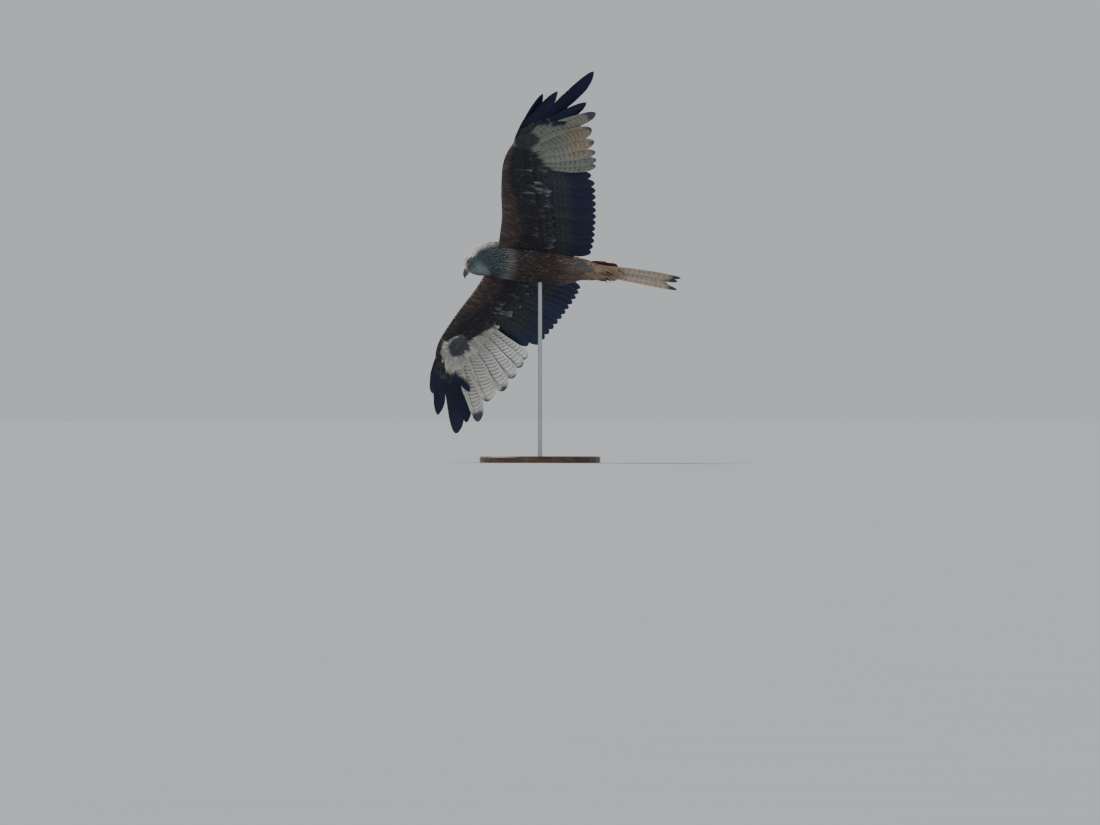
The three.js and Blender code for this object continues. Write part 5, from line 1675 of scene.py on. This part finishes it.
# The nearest of all samples, for 1500 points at a time so the table of distances stays small
nearest = np.concatenate([
    np.argmin((sample_at**2).sum(1)[None] - 2 * part @ sample_at.T, axis=1)
    for part in np.array_split(skin_at, 1 + len(skin_at) // 1500)
])
skin_tint = np.ones((len(skin_at), 4))
skin_tint[:, :3] = sample_tint[nearest] * 0.8
layer = skin.data.color_attributes.new("tint", "FLOAT_COLOR", "POINT")
layer.data.foreach_set("color", skin_tint.ravel().astype(np.float32))

n = Nodes("down")
down = n.noise(420.0, 4.0)
grey = n.add("ShaderNodeCombineColor", {k: n.maths("MULTIPLY_ADD", down, 0.6, 0.7) for k in range(3)})
ground = n.add("ShaderNodeVertexColor", layer_name="tint")
n.surface("Base Color", n.mixed(1.0, ground, grey, "MULTIPLY"))
n.fixed(Roughness=0.9, Sheen_Weight=0.2)
n.bump(down, 0.6, 0.0006)
skin.data.materials.append(n.material)
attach(skin, "root")
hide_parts("torso", "neck", "head", "leg_left", "leg_right")
print("skin painted from", len(sample_at), "places on the coats")

# %% [markdown]
# All feathers are laid, so each group becomes one piece. The wing's flight feathers take the place of the
# solid arm and hand, and the tail feathers that of the solid tail.

# %% Feather pieces
head_vanes.made(contour_paint, "head_plumage")
neck_vanes.made(contour_paint, "neck_plumage")
body_vanes.made(contour_paint, "body_plumage")
thigh_vanes.made(contour_paint, "leg_plumage")
vent_vanes.made(contour_paint, "body_plumage")
for side in wings:
    lesser[side].made(covert_paint, "wing_plumage")
    coverts[side].made(covert_paint, "wing_plumage")
    flight[side].made(flight_paint, "flight_feather", f"wing_{side}_arm", f"wing_{side}_hand")
tail.made(flight_paint, "tail_plumage", "tail")
tail_coverts.made(covert_paint, "tail_plumage")

# %% [markdown]
# Bill, cere, eyes and feet are smooth forms of their own. Each is a grid of rings: egg-shaped sections
# along a bent line, closed at both ends. A sphere pulled and pushed into a bill would lose its sharp edges.


# %% Smooth forms
def smooth_piece(name, points, faces, material):
    """One smooth piece from points in the frame."""
    mesh = bpy.data.meshes.new(name)
    mesh.from_pydata(points.tolist(), [], faces)
    mesh.shade_smooth()
    mesh.materials.append(material)
    piece = link(bpy.data.objects.new(name, mesh))
    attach(piece, "root")
    print(name, len(faces), "faces at", points.mean(0).round(3).tolist())
    return piece


def ringed(name, rings, material, mapped=None):
    """One closed piece from rings of points in the bird's frame. mapped stretches its map along its length.

    The faces look outwards: where the sum of face normal times place from the ring's middle is below 0,
    their corners are taken the other way round.
    """
    rows, around = rings.shape[:2]
    form_points, quads, caps = tube(rings)
    form_points = placed(form_points)
    a, b, c, d = (form_points[quads[:, k]] for k in range(4))
    middle = placed(rings.mean(1))[np.minimum(quads[:, 0] // around, rows - 1)]
    way = -1 if np.sum(np.cross(c - a, d - b) * ((a + b + c + d) / 4 - middle)) < 0 else 1
    faces = quads[:, ::way].tolist() + caps[:, ::way].tolist()
    piece = smooth_piece(name, form_points, faces, material)
    if mapped:
        u, v = np.tile(np.arange(around) / around, rows), np.repeat(np.linspace(0, 1, rows), around)
        uv = np.concatenate([np.stack([u, v], -1), [[0.5, 0.0], [0.5, 1.0]]]) * [1, mapped]
        index = np.empty(len(piece.data.loops), np.int32)
        piece.data.loops.foreach_get("vertex_index", index)
        layer = piece.data.uv_layers.new(name="form")
        layer.uv.foreach_set("vector", uv[index].astype(np.float32).ravel())
    return piece


def egg_rings(rows, around, count):
    """Rings across the head's own forward: rows give ahead, height, half width, above and below."""
    rows = evenly(rows, count)
    a = np.linspace(0, 2 * math.pi, around, endpoint=False)
    up = np.where(np.sin(a) > 0, rows[:, 3:4], rows[:, 4:5])
    ahead = rows[:, 0:1] + 0 * a
    return in_head(np.stack([ahead, rows[:, 2:3] * np.cos(a), rows[:, 1:2] + np.sin(a) * up], -1))


def mottled(name, scale, low, high, roughness, detail=3.0):
    """The plainest paint: two values of one colour, mixed by noise."""
    n = Nodes(name)
    n.surface("Base Color", n.mixed(n.noise(scale, detail), np.array(low), np.array(high)))
    n.fixed(Roughness=roughness)
    return n.material


# %% [markdown]
# The upper half of the bill bends down into a hook past the end of the lower half. Its root is the cere, a
# soft yellow skin with the nostril in it, and the corner of the mouth runs back under the eye. Horn and
# cere are one form, because on the bird no step parts them, only a change of colour.

# %% Bill
# ahead, height, half width, how far above and how far below, in the head's frame
UPPER_BILL = [
    [25, -4.9, 9.0, 8.6, 6.6], [28.3, -5.5, 8.4, 8, 6.2], [34, -6.5, 7.2, 7.5, 5.6],
    [41, -9.5, 5.4, 6.7, 4.8], [46.5, -13.5, 3.8, 5.2, 4.2], [49.6, -18.5, 2.2, 3.1, 3.2],
    [50.4, -23, 0.9, 1.3, 1.4], [50.2, -25, 0.3, 0.4, 0.4],
]
LOWER_BILL = [
    [22, -13.6, 7.4, 1.9, 2.9], [28.3, -14.2, 6.2, 1.6, 2.5], [34, -14.4, 5.2, 1.6, 2.3],
    [40, -15.6, 3.6, 1.4, 1.8], [44, -17, 1.5, 0.8, 0.9],
]
HORN, HORN_BASE, CERE = paint(18, 20, 28), paint(46, 52, 68), paint(122, 110, 80)
# The nostril's near-black colours on this line are painted shade.
NOSTRIL_SHADE_LOW, NOSTRIL_SHADE_HIGH = (0.012, 0.01, 0.01), (0.03, 0.025, 0.022)


def horn_paint(name, ahead_from, ahead_to):
    """Yellow cere at the root, blue-grey horn, and black at the hook, by the place along the bill."""
    n = Nodes(name)
    uv = n.add("ShaderNodeSeparateXYZ", {0: n.add("ShaderNodeUVMap", uv_map="form")}).node.outputs
    grain = n.noise(260.0, 3.0)
    place = n.maths("MULTIPLY_ADD", grain, 0.08, uv[1])
    horn = n.mixed(n.step(place, 0.45, 0.8), HORN_BASE, HORN)
    n.surface("Base Color", n.mixed(n.step(place, ahead_from, ahead_to), CERE, horn))
    n.surface("Roughness", n.maths("MULTIPLY_ADD", grain, 0.2, 0.22))
    n.bump(grain, 0.15, 0.0003)
    return n.material


upper_horn, lower_horn = horn_paint("upper_horn", 0.30, 0.36), horn_paint("lower_horn", 0.40, 0.50)
upper = ringed("bill_upper_horn", egg_rings(UPPER_BILL, 48, 60), upper_horn, 1)
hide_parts("bill_upper")
lower = ringed("bill_lower_horn", egg_rings(LOWER_BILL, 40, 40), lower_horn, 1)
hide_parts("bill_lower")

GAPE = [[30, 8.2, -13.2, 0.5], [24, 11.6, -13.0, 0.6], [18, 14.9, -12.6, 0.55], [14, 16.3, -12.3, 0.3]]
NOSTRIL = (33, 7.3, -3.6, 1.7)
n = Nodes("soft_yellow_skin")
pits = n.noise(300.0, 4.0)
n.surface("Base Color", n.mixed(pits, CERE * 0.7, CERE))
n.fixed(Roughness=0.5, Subsurface_Weight=0.05)
n.bump(pits, 0.3, 0.0003)
yellow_skin = n.material
# The nostril is a near-black bead on the cere: painted shade standing in for its opening.
hollow = mottled("nostril_painted_shade", 200.0, NOSTRIL_SHADE_LOW, NOSTRIL_SHADE_HIGH, 0.6)
for side, sign in SIDES.items():
    rows = evenly(GAPE, 26)
    rows[:, :3] = in_head(rows[:, :3] * [1, sign, 1])
    ringed(f"gape_{side}", limb_rings(rows, 14), yellow_skin)
    ahead, out, up, radius = NOSTRIL
    a = np.linspace(0.02, math.pi - 0.02, 14)[:, None]
    b = np.linspace(0, 2 * math.pi, 24, endpoint=False)[None, :]
    bead = np.stack([
        ahead + radius * 1.25 * np.sin(a) * np.cos(b),
        sign * (out + 0.55 * np.cos(a) + 0 * b),
        up + radius * 0.7 * np.sin(a) * np.sin(b),
    ], -1)
    ringed(f"nostril_{side}", in_head(bead), hollow)

# %% [markdown]
# Each eye is a ball with a slightly raised clear front. Iris and pupil are drawn by the distance from the
# eye's axis, in the ball's own map. A disc behind a glass shell is the other way, but at 14 mm its depth
# wouldn't show. A ring of bare skin makes the lids, and the brow shades the eye from above.

# %% Eyes
AMBER, AMBER_RIM = paint(118, 104, 74), paint(64, 54, 40)
EYE_BLACK, PUPIL = np.array([0.01, 0.008, 0.008]), np.array([0.004, 0.004, 0.005])
LID_LOW, LID_HIGH = (0.02, 0.019, 0.02), (0.06, 0.055, 0.05)
LID_POINTS, LID_AROUND = 72, 14
n = Nodes("eye")
out = n.add("ShaderNodeSeparateXYZ", {0: n.add("ShaderNodeUVMap", uv_map="form")}).node.outputs[1]
rays = n.noise(30.0, 3.0, n.add("ShaderNodeUVMap", uv_map="form"))
amber = n.mixed(n.step(n.maths("MULTIPLY_ADD", rays, 0.05, out), 0.17, 0.27), AMBER, AMBER_RIM)
iris = n.mixed(n.step(out, 0.285, 0.30), amber, EYE_BLACK)
n.surface("Base Color", n.mixed(n.step(out, 0.125, 0.115), iris, PUPIL))
n.fixed(Roughness=0.06, Coat_Weight=0.6, Coat_Roughness=0.03)
eye_material = n.material
lid_material = mottled("eyelid", 400.0, LID_LOW, LID_HIGH, 0.55)


def eyeball(centre, axes):
    """A ball about the eye's axis, its radius swollen by 6 % within a narrow bell round the front."""
    a = np.linspace(0.02, math.pi - 0.02, 40)[:, None]
    b = np.linspace(0, 2 * math.pi, 48, endpoint=False)[None, :]
    radius = EYE_RADIUS * (1 + 0.06 * np.exp(-((a / 0.42) ** 2)))
    local = np.stack([np.cos(a) + 0 * b, np.sin(a) * np.cos(b), np.sin(a) * np.sin(b)], -1)
    return in_head(centre + radius[..., None] * local @ axes)


def eyelids(centre, axes):
    """A thin tube along an oval line on the ball: its points in the bird's frame, and its faces."""
    ring = np.linspace(0, 2 * math.pi, LID_POINTS, endpoint=False)
    tilt = 0.86 - 0.10 * np.sin(ring)
    oval = [np.cos(tilt), 1.06 * np.sin(tilt) * np.cos(ring), 0.9 * np.sin(tilt) * np.sin(ring)]
    line = centre + EYE_RADIUS * 1.04 * np.stack(oval, -1) @ axes
    out = unit(line - centre)
    side_way = np.cross(unit(np.roll(line, -1, 0) - np.roll(line, 1, 0)), out)
    c = np.linspace(0, 2 * math.pi, LID_AROUND, endpoint=False)[None, :, None]
    lid = line[:, None] + 0.75 * (np.cos(c) * out[:, None] + 1.2 * np.sin(c) * side_way[:, None])
    lid = in_head(lid).reshape(-1, 3)
    r, k = np.meshgrid(np.arange(LID_POINTS), np.arange(LID_AROUND), indexing="ij")
    here, there = r * LID_AROUND, (r + 1) % LID_POINTS * LID_AROUND
    beside = (k + 1) % LID_AROUND
    quads = np.stack([here + k, here + beside, there + beside, there + k], -1).reshape(-1, 4)
    corners = lid[quads]
    away = corners.mean(1) - in_head(line)[quads[:, 0] // LID_AROUND]
    normal = np.cross(corners[:, 2] - corners[:, 0], corners[:, 3] - corners[:, 1])
    return lid, quads if np.sum(normal * away) >= 0 else quads[:, ::-1]


for side, sign in SIDES.items():
    centre = np.array([EYE_AHEAD, sign * EYE_SIDE, EYE_UP])
    out = unit(np.array([0.34, sign * 0.93, -0.08]))
    across = unit(np.cross(Z, out))
    axes = np.stack([out, across, np.cross(out, across)])
    piece = ringed(f"eyeball_{side}", eyeball(centre, axes), eye_material, 1)
    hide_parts(f"eye_{side}")
    lid, quads = eyelids(centre, axes)
    smooth_piece(f"eyelids_{side}", placed(lid), quads.tolist(), lid_material)

# %% [markdown]
# The feet are drawn up under the tail's root. Each has a bare yellow shank with scales in rows, four toes
# and curved black claws. Each is a tube along a bent line, and the toes' knuckles are a slow wave of its
# radius, which at this size reads as well as joints modelled one by one.

# %% Feet
# x, y, z and radius of the shank; for the claw and the hind toe ahead, height and radius from their root
TARSUS = [[-116, 15.5, -18, 4], [-138, 15, -14.6, 3.5], [-158, 14, -13.4, 3.8], [-166, 13.5, -13.2, 4.4]]
TOES = [[-6, 24], [0, 31], [6, 23]]
TOE_RADIUS = 3.4
CLAW = [[2, 1, 2.2], [-6, -1, 1.5], [-10, -8, 0.3]]
HIND_TOE = [[3, 0, 3], [8, -5, 2.6], [13, -7, 1.6], [13, -12, 0.4]]
n = Nodes("foot_scales")
where = {"Vector": n.add("ShaderNodeUVMap", uv_map="form"), "Scale": 14.0}
gap = n.step(n.add("ShaderNodeTexVoronoi", where, feature="DISTANCE_TO_EDGE"), 0.0, 0.09)
n.surface("Base Color", n.mixed(gap, CERE * 0.3, CERE * 0.85))
n.fixed(Roughness=0.55)
n.bump(gap, 0.7, 0.0005)
scale_material = n.material
claw_material = mottled("claw_horn", 150.0, HORN * 0.6, HORN * 1.3, 0.28)


def set_at(root, rows):
    """Rows of ahead, height and radius become x, y, z and radius from a root."""
    return np.stack([root[0] + rows[:, 0], root[1] + 0 * rows[:, 0], root[2] + rows[:, 1], rows[:, 2]], -1)


def scaly(name, rows, around=20):
    """A tube with scales, along rows of x, y, z and radius."""
    return ringed(name, limb_rings(rows, around), scale_material, 2)


def clawed(name, rows):
    """The same in horn."""
    return ringed(name, limb_rings(rows, 16), claw_material)


ankle = np.array(TARSUS[-1])
for side, sign in SIDES.items():
    flip = np.array([1, sign, 1, 1])
    shank = scaly(f"shank_{side}", evenly(TARSUS, 30) * flip, 24)
    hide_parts(f"foot_{side}")
    for k, (spread, reach) in enumerate(TOES):
        t = np.linspace(0, 1, 26)
        knuckles = TOE_RADIUS - t + 0.35 * np.sin(t * 9.4) ** 2
        toe = [ankle[0] - reach * t, ankle[1] + spread * t, ankle[2] - 5 * t * (1 - t), knuckles]
        toe = np.stack(toe, -1)
        scaly(f"toe_{side}_{k}", toe * flip)
        clawed(f"claw_{side}_{k}", set_at(toe[-1], evenly(CLAW, 16)) * flip)
    scaly(f"toe_{side}_hind", set_at(ankle, smooth(HIND_TOE, np.linspace(0, 2, 18))) * flip)
    tip = smooth(HIND_TOE, np.linspace(1.9, 3, 14)) * [1, 1, 0.95]
    clawed(f"claw_{side}_hind", set_at(ankle, tip) * flip)

# %% [markdown]
# The stand stays plain: the rod and the round base of the solids, in brushed steel and dark stained wood.
# The wood's rings are drawn in the object's own space, so the grain runs through the block. The floor is a
# pale grey a little cooler than the bird.


# %% Stand
def streaked(n, stretch):
    """The object's own space, stretched by three shares so that noise in it runs in streaks."""
    own = n.add("ShaderNodeTexCoord", output=3)
    return n.add("ShaderNodeMapping", {"Vector": own, "Scale": stretch})


WOOD_DARK, WOOD_LIGHT, WOOD_PORE = paint(58, 38, 27), paint(92, 62, 42), paint(34, 22, 16)
STEEL_LOW, STEEL_HIGH = paint(150, 152, 156), paint(188, 190, 194)
FLOOR_LOW, FLOOR_HIGH = (0.330, 0.347, 0.364), (0.351, 0.368, 0.385)

n = Nodes("stained_wood")
where = streaked(n, (1.0, 9.0, 9.0))
grain = {"Vector": where, "Scale": 9.0, "Detail": 6.0, "Distortion": 0.6}
grain = n.add("ShaderNodeTexNoise", grain)
fine = n.noise(60.0, 2.0, where)
wood = n.mixed(n.step(grain, 0.35, 0.65), WOOD_DARK, WOOD_LIGHT)
n.surface("Base Color", n.mixed(n.maths("MULTIPLY", fine, 0.35), wood, WOOD_PORE))
n.surface("Roughness", n.maths("MULTIPLY_ADD", fine, 0.2, 0.3))
n.bump(fine, 0.12, 0.0003)
wood_material = n.material
n = Nodes("brushed_steel")
brush = n.noise(30.0, 3.0, streaked(n, (40.0, 40.0, 2.0)))
n.surface("Base Color", n.mixed(brush, STEEL_LOW, STEEL_HIGH))
n.surface("Roughness", n.maths("MULTIPLY_ADD", brush, 0.2, 0.25))
n.fixed(Metallic=1.0)
n.bump(brush, 0.1, 0.0002)
steel_material = n.material
for node, material in (("stand_base", wood_material), ("stand_rod", steel_material)):
    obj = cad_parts[node]
    obj.data.materials.clear()
    obj.data.materials.append(material)
floor_mesh.materials.append(mottled("studio_floor", 6.0, FLOOR_LOW, FLOOR_HIGH, 0.85, 2.0))
print("stand painted:", wood_material.name, steel_material.name)
